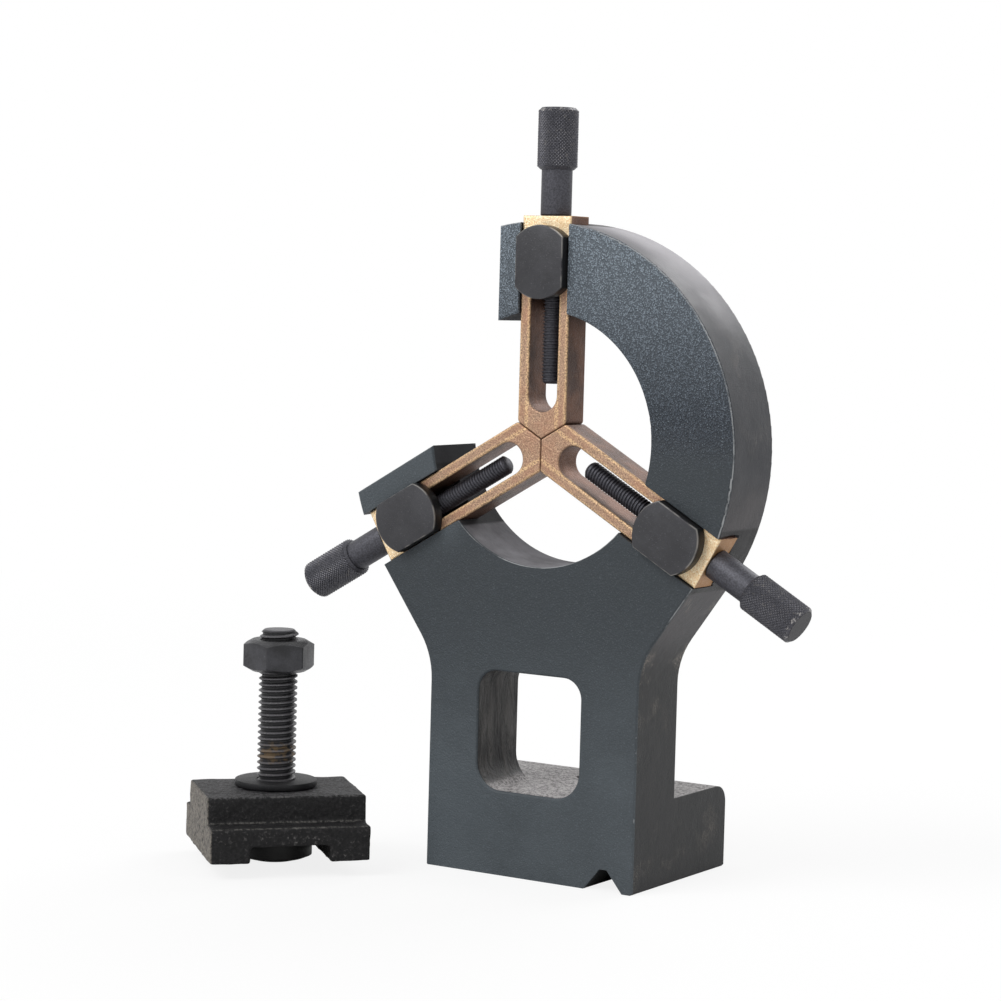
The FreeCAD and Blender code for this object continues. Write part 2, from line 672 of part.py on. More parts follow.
def make_clamp_bolt():
    """A dome-headed bolt with a square neck. It stands on its head, and carries the block."""
    body = new_body("clamp_bolt")
    shank = "sizes.clamp_thread / 2"
    head = "sizes.clamp_head / 2"
    dome = "sizes.clamp_head_dome"
    sphere = "((%s * %s + %s * %s) / 2 / %s)" % (head, head, dome, dome, dome)
    half = new_sketch(body, "XZ_Plane", "half")
    outline(half, [
        ("0", "0", sphere, "left"),
        (head, dome),
        (head, HEAD_SEAT),
        (shank, HEAD_SEAT),
        (shank, "sizes.clamp_bolt_top - sizes.clamp_bolt_bevel"),
        (shank + " - sizes.clamp_bolt_bevel", "sizes.clamp_bolt_top"),
        ("0", "sizes.clamp_bolt_top"),
    ])
    revolve(body, half)
    neck = new_sketch(body, "XY_Plane", "neck", forward=HEAD_SEAT)
    wall = "sizes.clamp_square / 2"
    rectangle(neck, "-" + wall, "-" + wall, wall, wall)
    pad(body, neck, "sizes.clamp_square_length")
    body.setExpression("Placement", clamp_place("0"))
    return body


def make_clamp():
    """The bed clamp, standing taken off beside the casting."""
    bore = "sizes.clamp_thread / 2 + sizes.fit_play"
    return [
        make_clamp_block(),
        make_clamp_bolt(),
        make_washer("clamp_washer", "sizes.clamp_washer / 2", bore, "sizes.clamp_washer_depth",
                    clamp_place("sizes.block_lift + sizes.block_height")),
        make_nut("clamp_nut", "sizes.clamp_nut_flats", "sizes.clamp_nut_depth", bore,
                 clamp_place("sizes.clamp_nut_place")),
    ]


def check(bodies):
    """Stops at a failed object or a shape that is no sound single solid."""
    for item in DOC.Objects:
        if "Invalid" in item.State or "Error" in item.State:
            raise RuntimeError("%s: %s" % (item.Name, item.State))
    for body in bodies:
        shape = body.Shape
        if shape.isNull() or not shape.isValid() or len(shape.Solids) != 1:
            raise RuntimeError(body.Label + " is no sound solid")


def main():
    bodies = [make_frame()]
    for name, arm in ARMS.items():
        bodies += make_arm(name, *arm)
    bodies += make_clamp()
    DOC.recompute()
    check(bodies)
    os.makedirs("parts", exist_ok=True)
    for body in bodies:
        body.Shape.exportStep("parts/%s.step" % body.Label)
        print("%-20s volume %10.1f" % (body.Label, body.Shape.Volume))


main()
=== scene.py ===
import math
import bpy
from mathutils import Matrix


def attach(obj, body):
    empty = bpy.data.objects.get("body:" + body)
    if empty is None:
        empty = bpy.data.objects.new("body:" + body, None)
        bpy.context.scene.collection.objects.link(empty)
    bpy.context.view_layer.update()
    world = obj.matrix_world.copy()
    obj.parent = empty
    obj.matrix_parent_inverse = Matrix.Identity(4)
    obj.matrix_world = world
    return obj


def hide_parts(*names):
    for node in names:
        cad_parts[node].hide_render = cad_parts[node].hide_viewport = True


bl_info = {
    "name": "Steady Rest",
    "version": (1, 0, 0),
    "blender": (4, 5, 0),
    "location": "View3D > Sidebar > Steady Rest",
    "description": "Dresses the lathe steady rest: paint, bronze, knurled screws, threads and clamp",
    "category": "Object",
}

import bpy
from mathutils import Matrix, Vector

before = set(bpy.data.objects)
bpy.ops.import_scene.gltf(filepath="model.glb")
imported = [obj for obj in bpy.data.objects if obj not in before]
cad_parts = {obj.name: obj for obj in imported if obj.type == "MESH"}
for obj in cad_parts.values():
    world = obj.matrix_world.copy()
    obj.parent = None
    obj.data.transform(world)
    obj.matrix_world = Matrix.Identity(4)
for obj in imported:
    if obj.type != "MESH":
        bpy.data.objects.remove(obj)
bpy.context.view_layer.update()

ARMS = {"top": 0.0, "right": 120.0, "left": -120.0}
WORK_AXIS = 0.090
STUD_SETBACK = 0.0275
FRAME_BACK = 0.0168 - STUD_SETBACK
RING_MIDDLE = (-0.0008, WORK_AXIS - 0.0014)
JAW_FACE = 0.0008 - STUD_SETBACK
JAW_MIDDLE = JAW_FACE + 0.0035
BORE_RADIUS = 0.02605
RING_RADIUS = 0.0455
BOLT_RADIUS = (BORE_RADIUS + RING_RADIUS) / 2
CLAMP_PLACE = (-0.0510, -0.04515, 0.0)
CLAMP_ANGLE = 47.8
HEX_SIDES = 6
NUT_SLOPE = math.tan(math.radians(30.0))
NUT_MOUTH = 0.0004
MERGE = 2e-6
SEAT_GAP = 0.00005
WASHER_EDGE = 0.0002
# Of one pitch: the thread's depth, what is left over beyond a cut, and the form of one turn
THREAD_DEPTH = 0.46
THREAD_SPARE = 0.2837
THREAD_FORM = ((0, 0.0), (0, 0.14), (1, 0.42), (1, 0.60), (0, 0.88), (0, 1.0))


# Modelling helpers

def start_fresh():
    """Object mode with nothing selected."""
    if bpy.context.object and bpy.context.object.mode != "OBJECT":
        bpy.ops.object.mode_set(mode="OBJECT")
    bpy.ops.object.select_all(action="DESELECT")


def make_active(piece):
    start_fresh()
    piece.select_set(True)
    bpy.context.view_layer.objects.active = piece


def edit(piece, kind="FACE"):
    """Edit mode on one piece with nothing selected."""
    make_active(piece)
    bpy.ops.object.mode_set(mode="EDIT")
    bpy.ops.mesh.select_mode(type=kind)
    bpy.ops.mesh.select_all(action="DESELECT")


def done():
    bpy.ops.object.mode_set(mode="OBJECT")


def pick_faces(piece, wanted):
    """Selects the faces that a test of centre and normal picks out, in edit mode."""
    done()
    found = 0
    for face in piece.data.polygons:
        face.select = bool(wanted(face.center, face.normal))
        found += face.select
    if not found:
        raise RuntimeError("no face picked on " + piece.name)
    for edge in piece.data.edges:
        edge.select = False
    for vertex in piece.data.vertices:
        vertex.select = False
    bpy.ops.object.mode_set(mode="EDIT")
    bpy.ops.mesh.select_mode(type="FACE")


def pick_edges(piece, wanted):
    """Selects the edges that a test of both end points picks out, in edit mode."""
    done()
    points = [vertex.co.copy() for vertex in piece.data.vertices]
    for face in piece.data.polygons:
        face.select = False
    for vertex in piece.data.vertices:
        vertex.select = False
    found = 0
    for edge in piece.data.edges:
        edge.select = bool(wanted(points[edge.vertices[0]], points[edge.vertices[1]]))
        found += edge.select
    if not found:
        raise RuntimeError("no edge picked on " + piece.name)
    bpy.ops.object.mode_set(mode="EDIT")
    bpy.ops.mesh.select_mode(type="EDGE")


def keep_edges(piece, wanted):
    """Of the selected edges, keeps those that a test of both end points picks out."""
    done()
    chosen = {edge.index for edge in piece.data.edges if edge.select}
    points = [vertex.co.copy() for vertex in piece.data.vertices]
    for item in list(piece.data.polygons) + list(piece.data.vertices):
        item.select = False
    for edge in piece.data.edges:
        edge.select = edge.index in chosen and bool(
            wanted(points[edge.vertices[0]], points[edge.vertices[1]]))
    bpy.ops.object.mode_set(mode="EDIT")
    bpy.ops.mesh.select_mode(type="EDGE")


def add_modifier(piece, kind, **settings):
    """Adds a modifier and applies it."""
    make_active(piece)
    modifier = piece.modifiers.new(kind.title(), kind)
    for name, setting in settings.items():
        setattr(modifier, name, setting)
    bpy.ops.object.modifier_apply(modifier=modifier.name)


def cut(piece, tool, operation="DIFFERENCE"):
    """Cuts or keeps what a second solid covers, and removes that solid."""
    add_modifier(piece, "BOOLEAN", object=tool, operation=operation, solver="EXACT")
    bpy.data.objects.remove(tool, do_unlink=True)


def join(pieces, name):
    """Makes one piece of several."""
    make_active(pieces[0])
    for piece in pieces[1:]:
        piece.select_set(True)
    bpy.ops.object.join()
    pieces[0].name = name
    pieces[0].data.name = name
    return pieces[0]


def place(piece, matrix):
    """Moves the mesh itself, so that the object stays at the origin."""
    piece.data.transform(matrix)
    piece.data.update()


def copy_of(piece, name):
    """A copy with its own mesh."""
    twin = piece.copy()
    twin.data = piece.data.copy()
    twin.name = name
    twin.data.name = name
    bpy.context.collection.objects.link(twin)
    return twin


def smooth(piece, degrees=32.0):
    make_active(piece)
    bpy.ops.object.shade_smooth_by_angle(angle=math.radians(degrees))


def outwards(piece):
    """Merges doubles and points every face out."""
    edit(piece)
    bpy.ops.mesh.select_all(action="SELECT")
    bpy.ops.mesh.remove_doubles(threshold=MERGE)
    bpy.ops.mesh.normals_make_consistent(inside=False)
    done()


def rod(name, radius, low, high, sides=64):
    """A cylinder that stands between two heights."""
    start_fresh()
    bpy.ops.mesh.primitive_cylinder_add(
        vertices=sides, radius=radius, depth=high - low, location=(0, 0, (low + high) / 2))
    piece = bpy.context.object
    piece.name = name
    bpy.ops.object.transform_apply(location=True, rotation=True, scale=True)
    return piece


def bar(name, low, high):
    """A block between two corners."""
    start_fresh()
    middle = [(a + b) / 2 for a, b in zip(low, high)]
    bpy.ops.mesh.primitive_cube_add(size=1.0, location=middle)
    piece = bpy.context.object
    piece.name = name
    piece.scale = [b - a for a, b in zip(low, high)]
    bpy.ops.object.transform_apply(location=True, rotation=True, scale=True)
    return piece


def bevel_end(piece, height, size):
    """A 45 degree bevel round the end face at a rod's foot."""
    edit(piece)
    pick_faces(piece, lambda centre, normal: abs(normal.z) > 0.9 and abs(centre.z - height) < 1e-5)
    bpy.ops.mesh.inset(thickness=size, depth=0.0)
    bpy.ops.transform.translate(value=(0, 0, -size))
    done()


def threaded_rod(name, radius, pitch, low, high, bevel_low, bevel_high, sides=40):
    """A right-hand screw thread, cut to length, with its ends turned to a bevel."""
    depth = THREAD_DEPTH * pitch
    turns = int((high - low) / pitch) + 4
    start = low - 2 * pitch
    outline = [(radius if crest else radius - depth, start + share * pitch)
               for crest, share in THREAD_FORM]
    start_fresh()
    bpy.ops.mesh.primitive_plane_add(size=1.0)
    piece = bpy.context.object
    piece.name = name
    bpy.ops.object.mode_set(mode="EDIT")
    bpy.ops.mesh.select_all(action="SELECT")
    bpy.ops.mesh.delete(type="VERT")
    done()
    piece.data.from_pydata([(across, 0.0, height) for across, height in outline],
                           [(index, index + 1) for index in range(len(outline) - 1)], [])
    add_modifier(piece, "SCREW", angle=math.tau, screw_offset=pitch, iterations=turns,
                 steps=sides, render_steps=sides, use_merge_vertices=True, merge_threshold=1e-6,
                 use_normal_calculate=True)
    edit(piece)
    bpy.ops.mesh.select_all(action="SELECT")
    bpy.ops.mesh.remove_doubles(threshold=MERGE)
    bpy.ops.mesh.bisect(plane_co=(0, 0, low - THREAD_SPARE * pitch), plane_no=(0, 0, 1),
                        clear_inner=True, use_fill=True)
    bpy.ops.mesh.select_all(action="SELECT")
    bpy.ops.mesh.bisect(plane_co=(0, 0, high + THREAD_SPARE * pitch), plane_no=(0, 0, 1),
                        clear_outer=True, use_fill=True)
    done()
    outwards(piece)
    blank = rod("blank", radius * 1.02, low + bevel_low, high - bevel_high)
    for height, size in ((low + bevel_low, -bevel_low), (high - bevel_high, bevel_high)):
        if size:
            edit(blank)
            pick_faces(blank, lambda centre, normal: abs(centre.z - height) < 1e-6)
            bpy.ops.mesh.inset(thickness=abs(size) + 0.02 * radius, depth=0.0)
            bpy.ops.transform.translate(value=(0, 0, size))
            done()
    cut(piece, blank, "INTERSECT")
    return piece


def knurled_head(name, radius, low, high, bevel, teeth, height):
    """A diamond-knurled head: a grid of quads becomes diamonds, and each diamond a small point."""
    base = radius - height
    piece = rod(name, base, low + bevel, high - bevel, sides=teeth)
    rows = max(2, round((high - low - 2 * bevel) / (math.tau * base / teeth)))
    for end, way in ((low + bevel, -1), (high - bevel, 1)):
        edit(piece)
        pick_faces(piece, lambda centre, normal: abs(normal.z) > 0.9 and abs(centre.z - end) < 1e-6)
        bpy.ops.mesh.inset(thickness=bevel, depth=0.0)
        bpy.ops.transform.translate(value=(0, 0, way * bevel))
        done()
    edit(piece, "EDGE")
    pick_edges(piece, lambda a, b: abs(a.z - b.z) > 2 * bevel)
    bpy.ops.mesh.subdivide(number_cuts=rows - 1)
    pick_faces(piece, lambda centre, normal: abs(normal.z) < 0.5)
    bpy.ops.mesh.poke(offset=0.0)
    inside = base * math.cos(math.pi / teeth) + 1e-7
    done()
    for vertex in piece.data.vertices:
        across = math.hypot(vertex.co.x, vertex.co.y)
        if base - bevel / 2 < across < inside:
            vertex.co.x *= base / across
            vertex.co.y *= base / across
    step = (high - low - 2 * bevel) / rows

    def on_grid(point):
        share = (point.z - low - bevel) / step
        return abs(share - round(share)) < 0.1

    edit(piece, "EDGE")
    pick_edges(piece, lambda a, b: on_grid(a) and on_grid(b)
               and low + bevel + 1e-6 < (a.z + b.z) / 2 < high - bevel - 1e-6)
    bpy.ops.mesh.dissolve_edges(use_verts=False)
    pick_faces(piece, lambda centre, normal: abs(normal.z) < 0.5)
    bpy.ops.mesh.poke(offset=height)
    done()
    return piece


def hexagon_nut(name, flats, depth, bore, turned):
    """A nut: six sides with softened corners, both faces turned off, and a bored hole."""
    corner = flats / 2 / math.cos(math.pi / HEX_SIDES)
    piece = rod(name, corner, 0.0, depth, sides=HEX_SIDES)
    place(piece, Matrix.Rotation(math.pi / HEX_SIDES, 4, "Z"))
    edit(piece, "EDGE")
    pick_edges(piece, lambda a, b: abs(a.z - b.z) > 1e-6)
    bpy.ops.mesh.bevel(offset=0.02 * flats, segments=3)
    done()
    drop = (corner - flats / 2 + turned) * NUT_SLOPE
    blank = rod("blank", corner * 1.1, drop, depth - drop, sides=96)
    reach = corner * 1.1 - (flats / 2 - turned)
    rise = reach * NUT_SLOPE
    for height, way in ((drop, -1), (depth - drop, 1)):
        edit(blank)
        pick_faces(blank, lambda centre, normal: abs(centre.z - height) < 1e-6)
        bpy.ops.transform.translate(value=(0, 0, way * (drop - rise)))
        bpy.ops.mesh.inset(thickness=reach, depth=0.0)
        bpy.ops.transform.translate(value=(0, 0, way * rise))
        done()
    cut(piece, blank, "INTERSECT")
    cut(piece, rod("hole", bore, -0.001, depth + 0.001))
    for end, way in ((0.0, -1), (depth, 1)):
        mouth = rod("mouth", bore, end - NUT_MOUTH, end + NUT_MOUTH)
        edit(mouth)
        pick_faces(mouth, lambda centre, normal: normal.z * way > 0.9)
        wider = 1 + 2 * NUT_MOUTH / bore
        bpy.ops.transform.resize(value=(wider, wider, 1))
        done()
        cut(piece, mouth)
    return piece


def flat_washer(name, radius, bore, depth):
    """A washer with both rims broken."""
    piece = rod(name, radius, 0.0, depth, sides=96)
    edit(piece, "EDGE")
    pick_edges(piece, lambda a, b: abs(a.z - b.z) < 1e-6)
    bpy.ops.mesh.bevel(offset=WASHER_EDGE, segments=2)
    done()
    cut(piece, rod("hole", bore, -0.001, 0.003))
    smooth(piece)
    return piece


# Material helpers

class Paint:
    """Builds one node material on Object coordinates."""

    def __init__(self, name):
        self.material = bpy.data.materials.new(name)
        self.material.use_nodes = True
        self.tree = self.material.node_tree
        self.shader = next(node for node in self.tree.nodes if node.type == "BSDF_PRINCIPLED")
        self.coords = self.tree.nodes.new("ShaderNodeTexCoord")
        self.where = self.coords.outputs["Object"]

    def link(self, source, target):
        self.tree.links.new(source, target)

    def turned(self, angle, centre=(0.0, 0.0, 0.0), axis=1, scale=(1.0, 1.0, 1.0)):
        """The object's coordinates from a centre, turned back by an angle about one axis."""
        shift = self.tree.nodes.new("ShaderNodeVectorMath")
        shift.operation = "SUBTRACT"
        self.link(self.where, shift.inputs[0])
        shift.inputs[1].default_value = centre
        node = self.tree.nodes.new("ShaderNodeMapping")
        node.vector_type = "POINT"
        self.link(shift.outputs[0], node.inputs["Vector"])
        turn = [0.0, 0.0, 0.0]
        turn[axis] = -math.radians(angle)
        node.inputs["Rotation"].default_value = turn
        node.inputs["Scale"].default_value = scale
        return node.outputs[0]

    def noise(self, scale, detail=2.0, roughness=0.5, where=None, distortion=0.0):
        node = self.tree.nodes.new("ShaderNodeTexNoise")
        node.inputs["Scale"].default_value = scale
        node.inputs["Detail"].default_value = detail
        node.inputs["Roughness"].default_value = roughness
        node.inputs["Distortion"].default_value = distortion
        self.link(where or self.where, node.inputs["Vector"])
        return node.outputs["Fac"]

    def cells(self, scale, where=None, feature="F1", smoothness=0.0):
        node = self.tree.nodes.new("ShaderNodeTexVoronoi")
        node.feature = feature
        node.inputs["Scale"].default_value = scale
        if feature == "SMOOTH_F1":
            node.inputs["Smoothness"].default_value = smoothness
        self.link(where or self.where, node.inputs["Vector"])
        return node.outputs["Distance"]

    def band(self, source, low, high, to_low=0.0, to_high=1.0):
        """Maps a range of values smoothly to another, and holds it outside."""
        node = self.tree.nodes.new("ShaderNodeMapRange")
        node.interpolation_type = "SMOOTHSTEP"
        node.inputs["From Min"].default_value = low
        node.inputs["From Max"].default_value = high
        node.inputs["To Min"].default_value = to_low
        node.inputs["To Max"].default_value = to_high
        self.link(source, node.inputs["Value"])
        return node.outputs["Result"]

    def math(self, operation, first, second=None):
        node = self.tree.nodes.new("ShaderNodeMath")
        node.operation = operation
        for index, item in enumerate((first, second)):
            if item is None:
                continue
            if isinstance(item, (int, float)):
                node.inputs[index].default_value = item
            else:
                self.link(item, node.inputs[index])
        return node.outputs[0]

    def times(self, first, second):
        return self.math("MULTIPLY", first, second)

    def plus(self, first, second):
        return self.math("ADD", first, second)

    def minus(self, first, second):
        return self.math("SUBTRACT", first, second)

    def size(self, number):
        return self.math("ABSOLUTE", number)

    def part(self, where=None):
        """The three coordinates as numbers."""
        node = self.tree.nodes.new("ShaderNodeSeparateXYZ")
        self.link(where or self.where, node.inputs[0])
        return node.outputs

    def reach(self, across, up):
        """How far a point lies from an axis."""
        return self.math("SQRT", self.plus(self.times(across, across), self.times(up, up)))

    def near(self, number, place, width):
        """One at a place, and nothing beyond a width on either side."""
        away = self.size(self.minus(number, place))
        return self.band(away, width, width / 2)

    def mix(self, share, first, second):
        """Mixes two colours by a value."""
        node = self.tree.nodes.new("ShaderNodeMix")
        node.data_type = "RGBA"
        node.clamp_factor = True
        sockets = [socket for socket in node.inputs if socket.type == "RGBA"]
        if isinstance(share, (int, float)):
            node.inputs["Factor"].default_value = share
        else:
            self.link(share, node.inputs["Factor"])
        for socket, item in zip(sockets, (first, second)):
            if isinstance(item, tuple):
                socket.default_value = item
            else:
                self.link(item, socket)
        return next(socket for socket in node.outputs if socket.type == "RGBA")

    def colour(self, source):
        self.link(source, self.shader.inputs["Base Color"])

    def rough(self, source):
        self.link(source, self.shader.inputs["Roughness"])

    def bump(self, *layers):
        """Bump from (height, depth in metres) pairs, added up."""
        normal = None
        for height, depth in layers:
            node = self.tree.nodes.new("ShaderNodeBump")
            node.inputs["Strength"].default_value = 1.0
            node.inputs["Distance"].default_value = depth
            self.link(height, node.inputs["Height"])
            if normal is not None:
                self.link(normal, node.inputs["Normal"])
            normal = node.outputs["Normal"]
        self.link(normal, self.shader.inputs["Normal"])

    def metal(self, share, specular=0.5):
        self.shader.inputs["Metallic"].default_value = share
        self.shader.inputs["Specular IOR Level"].default_value = specular


def tone(red, green, blue):
    """A colour from the 0 to 255 values that the eye sees on screen."""
    def linear(number):
        share = number / 255.0
        return share / 12.92 if share <= 0.04045 else ((share + 0.055) / 1.055) ** 2.4
    return (linear(red), linear(green), linear(blue), 1.0)


def shade(colour, factor):
    return tuple(part * factor for part in colour[:3]) + (1.0,)


def dress(piece, material):
    """Puts one material on every face."""
    piece.data.materials.clear()
    piece.data.materials.append(material)


def dress_node(name, material):
    """Puts one material in the slots of a piece that came with the frame."""
    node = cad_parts[name]
    if not node.material_slots:
        node.data.materials.append(material)
    for slot in node.material_slots:
        slot.material = material


# Finishes

def hammered_paint(colours):
    """Slate paint: hammered on the ring's face, smoother below, dark on the sides, with painted light
    where parts face up and painted shade in the bore and next to the jaws.
    """
    paint = Paint("hammered_slate_paint")
    x, y, z = paint.part()[:3]
    behind = paint.plus(y, STUD_SETBACK)
    radius = paint.reach(x, paint.minus(z, WORK_AXIS))
    ring_radius = paint.reach(paint.minus(x, RING_MIDDLE[0]),
                              paint.minus(z, RING_MIDDLE[1]))
    front = paint.band(behind, 0.0004, 0.0008, 1.0, 0.0)
    ring = paint.band(z, 0.084, 0.097, 0.18, 1.0)
    hammered = paint.times(front, ring)

    pebble = paint.cells(2800.0, feature="SMOOTH_F1", smoothness=0.4)
    grain = paint.noise(3400.0, detail=3.0, roughness=0.6)
    mottle = paint.noise(110.0, detail=4.0, roughness=0.62)
    cloud = paint.noise(26.0, detail=3.0)

    # The front face, with painted light and shade: lighter at the top of the ring and at the foot than
    # in between
    slate = tuple(colours.paint) + (1.0,)
    body = paint.mix(paint.band(mottle, 0.35, 0.68), shade(slate, 0.90), shade(slate, 1.10))
    body = paint.mix(paint.band(cloud, 0.35, 0.66, 0.0, 0.3), body, shade(slate, 1.15))
    # Painted light: the lower left of the body is painted lighter
    corner = paint.times(paint.band(x, -0.002, -0.024), paint.band(z, 0.040, 0.012))
    body = paint.mix(corner, body, shade(slate, 1.38))
    # Painted shade: the body is painted darker above the foot
    body = paint.mix(paint.band(z, 0.020, 0.060), body, shade(slate, 0.60))
    # Painted light: the left arm's face is painted lighter
    lit_left_arm = paint.times(paint.band(x, -0.016, -0.022), paint.band(z, 0.064, 0.072))
    body = paint.mix(lit_left_arm, body, shade(slate, 1.05))
    # Painted light: the ring's face is painted lighter towards its top, and each pebble's hollow gets
    # a darker copy of the tone, painted shade
    height = paint.band(z, 0.084, 0.142)
    shaded_blue, lit_blue = tone(66, 73, 83), tone(152, 164, 175)
    raised = paint.mix(height, shaded_blue, lit_blue)
    shaded_hollows = paint.mix(height, shade(shaded_blue, 0.42), shade(lit_blue, 0.38))
    ring_tone = paint.mix(paint.band(pebble, 0.20, 0.58), raised, shaded_hollows)
    # Painted highlight: light specks on the tops of the pebbles
    speck = paint.times(paint.band(grain, 0.52, 0.64), paint.band(pebble, 0.36, 0.16))
    ring_tone = paint.mix(paint.times(speck, 0.8), ring_tone, tone(150, 160, 168))
    face = paint.mix(hammered, body, ring_tone)

    # The sides: dark, with sandy worn patches, painted light higher up and at the top of the ring, and
    # less of it next to the ring's front edge
    side = paint.mix(paint.band(mottle, 0.36, 0.7), tone(36, 37, 38), tone(50, 50, 51))
    sand = paint.times(paint.band(paint.noise(90.0, detail=5.0, roughness=0.7), 0.52, 0.70),
                       paint.band(grain, 0.42, 0.60))
    flank = paint.times(paint.band(z, 0.034, 0.044), paint.band(z, 0.072, 0.060))
    sand = paint.times(sand, paint.plus(paint.times(flank, 0.55), 0.15))
    # Painted light: the sides are painted lighter higher up, and the ring's outer side gets a darker
    # flat tone, painted shade
    lit = paint.mix(paint.band(mottle, 0.36, 0.7), tone(56, 55, 58), tone(78, 76, 78))
    side = paint.mix(paint.band(z, 0.042, 0.056), side, lit)
    side = paint.mix(paint.times(paint.band(z, 0.078, 0.085), paint.band(ring_radius, 0.040, 0.044)),
                     side, tone(56, 57, 61))
    side = paint.mix(sand, side, tone(168, 158, 146))
    # Painted light from above on the top of the ring's outer side, weaker next to its front edge,
    # painted shade
    painted_top_light = paint.times(paint.band(z, 0.108, 0.1345), paint.band(ring_radius, 0.040, 0.044))
    painted_top_light = paint.times(painted_top_light, paint.band(behind, 0.0010, 0.0130, 0.25, 1.0))
    side = paint.mix(painted_top_light, side, tone(166, 163, 168))

    # The bore: painted light where it faces up, painted shade higher up, and a painted black shadow
    # next to each jaw
    inside = paint.band(radius, 0.0262, 0.0266, 1.0, 0.0)
    bore = paint.mix(paint.band(mottle, 0.3, 0.7), tone(84, 83, 86), tone(120, 119, 123))
    bore = paint.mix(paint.band(z, WORK_AXIS - 0.017, WORK_AXIS - 0.009), bore, tone(46, 47, 50))
    side = paint.mix(inside, side, bore)
    # Painted shadow: the bore is painted near black next to each jaw
    for angle in ARMS.values():
        across, _, along = paint.part(paint.turned(angle, centre=(0.0, 0.0, WORK_AXIS)))[:3]
        painted_jaw_shadow = paint.times(paint.band(paint.size(across), 0.0076, 0.0068),
                             paint.band(along, 0.020, 0.022))
        side = paint.mix(paint.times(painted_jaw_shadow, 0.9), side, tone(26, 26, 28))

    window = paint.times(paint.band(z, 0.0174, 0.0184), paint.band(z, 0.0426, 0.0432, 1.0, 0.0))
    window = paint.times(window, paint.band(paint.size(x), 0.0150, 0.0146))
    streak = paint.noise(300.0, detail=6.0, roughness=0.75, distortion=0.6,
                         where=paint.turned(14.0, axis=0, scale=(1, 1, 0.30)))
    window_tone = paint.mix(paint.band(streak, 0.42, 0.62), tone(27, 26, 27), tone(68, 66, 64))
    side = paint.mix(window, side, window_tone)

    # The foot's top: gritty dust, and painted far lighter than the sides because it faces up, painted
    # light
    foot_top = paint.times(paint.band(z, 0.0166, 0.0170), paint.band(z, 0.0190, 0.0178))
    foot_top = paint.times(foot_top, paint.band(paint.size(x), 0.0247, 0.0245))
    gritty = paint.noise(1700.0, detail=4.0, roughness=0.75)
    dust_and_top_light = paint.mix(paint.band(gritty, 0.40, 0.60), tone(90, 87, 87), tone(184, 180, 180))
    side = paint.mix(foot_top, side, dust_and_top_light)
    everything = paint.mix(front, side, face)
    behind_face = paint.minus(1.0, front)

    # Rubbed edges round the ring and the bore: partly worn paint, partly a painted edge highlight
    edge = paint.times(paint.band(behind, 0.00008, 0.0002), paint.band(behind, 0.00042, 0.0003))
    rims = paint.plus(paint.near(ring_radius, RING_RADIUS, 0.0008),
                      paint.times(inside, paint.band(z, 0.078, 0.074)))
    rubbed = paint.times(edge, paint.times(rims, paint.band(mottle, 0.36, 0.56)))
    chip = paint.times(edge, paint.band(paint.noise(700.0, detail=2.0), 0.60, 0.68))
    rubbed = paint.math("MAXIMUM", rubbed, paint.times(chip, 0.5))
    everything = paint.mix(paint.times(rubbed, 0.8), everything, tone(168, 170, 172))
    paint.colour(everything)
    rough = paint.plus(paint.times(paint.band(mottle, 0.3, 0.7), 0.14), 0.40)
    paint.rough(paint.plus(rough, paint.times(inside, 0.4)))
    paint.bump((paint.times(pebble, paint.times(hammered, -1.0)), 0.00042),
               (grain, 0.00008), (mottle, 0.00025),
               (paint.times(streak, paint.times(window, behind_face)), 0.0005),
               (paint.times(gritty, paint.times(foot_top, behind_face)), 0.00025))
    paint.metal(0.0, 0.22)
    return paint.material


def cast_bronze(name, angle, colours):
    """Grainy cast bronze: gold on the front face, darker and browner down the sides."""
    paint = Paint(name)
    local = paint.turned(angle, centre=(0.0, 0.0, WORK_AXIS))
    across, deep, along = paint.part(local)[:3]
    depth = paint.minus(deep, JAW_FACE)
    side = paint.size(across)
    grain = paint.noise(3000.0, detail=3.0, roughness=0.7, where=local)
    fine = paint.noise(4200.0, detail=2.0, roughness=0.6, where=local)
    cloud = paint.noise(150.0, detail=4.0, roughness=0.6, where=local)

    bronze = tuple(colours.bronze) + (1.0,)
    face = paint.mix(paint.band(grain, 0.38, 0.62), shade(bronze, 0.52), shade(bronze, 1.16))
    face = paint.mix(paint.band(cloud, 0.40, 0.68, 0.0, 0.55), face, tone(164, 120, 96))
    glint = paint.band(fine, 0.60, 0.72)
    face = paint.mix(paint.times(glint, 0.8), face, tone(242, 214, 168))
    block = paint.band(along, 0.0400, 0.0412)
    clean = paint.mix(paint.band(grain, 0.36, 0.62), tone(232, 194, 142), tone(255, 240, 208))
    face = paint.mix(paint.times(block, 0.9), face, clean)

    # Lighter along the rails' outer and slot edges: partly worn bronze, partly a painted edge
    # highlight
    rim_outer = paint.band(side, 0.0049, 0.0055)
    rim_slot = paint.times(paint.band(side, 0.0042, 0.0037), paint.band(side, 0.0030, 0.0033))
    rim = paint.times(paint.math("MAXIMUM", rim_outer, rim_slot), paint.band(grain, 0.40, 0.58))
    face = paint.mix(paint.times(rim, 0.6), face, tone(236, 202, 152))

    brown = paint.mix(paint.band(cloud, 0.34, 0.66), tone(74, 54, 46), tone(112, 80, 64))
    brown = paint.mix(paint.times(glint, 0.35), brown, tone(160, 118, 84))
    faded = paint.band(depth, 0.00015, 0.0006)
    end_face = paint.band(along, 0.0450, 0.04515)
    brown = paint.mix(paint.times(end_face, 0.8), brown, tone(170, 128, 84))
    paint.colour(paint.mix(faded, face, brown))
    paint.rough(paint.plus(paint.times(paint.band(grain, 0.3, 0.7), -0.16), 0.50))
    paint.bump((grain, 0.00016), (fine, 0.00005), (cloud, 0.0004))
    paint.metal(0.72, 0.5)
    return paint.material


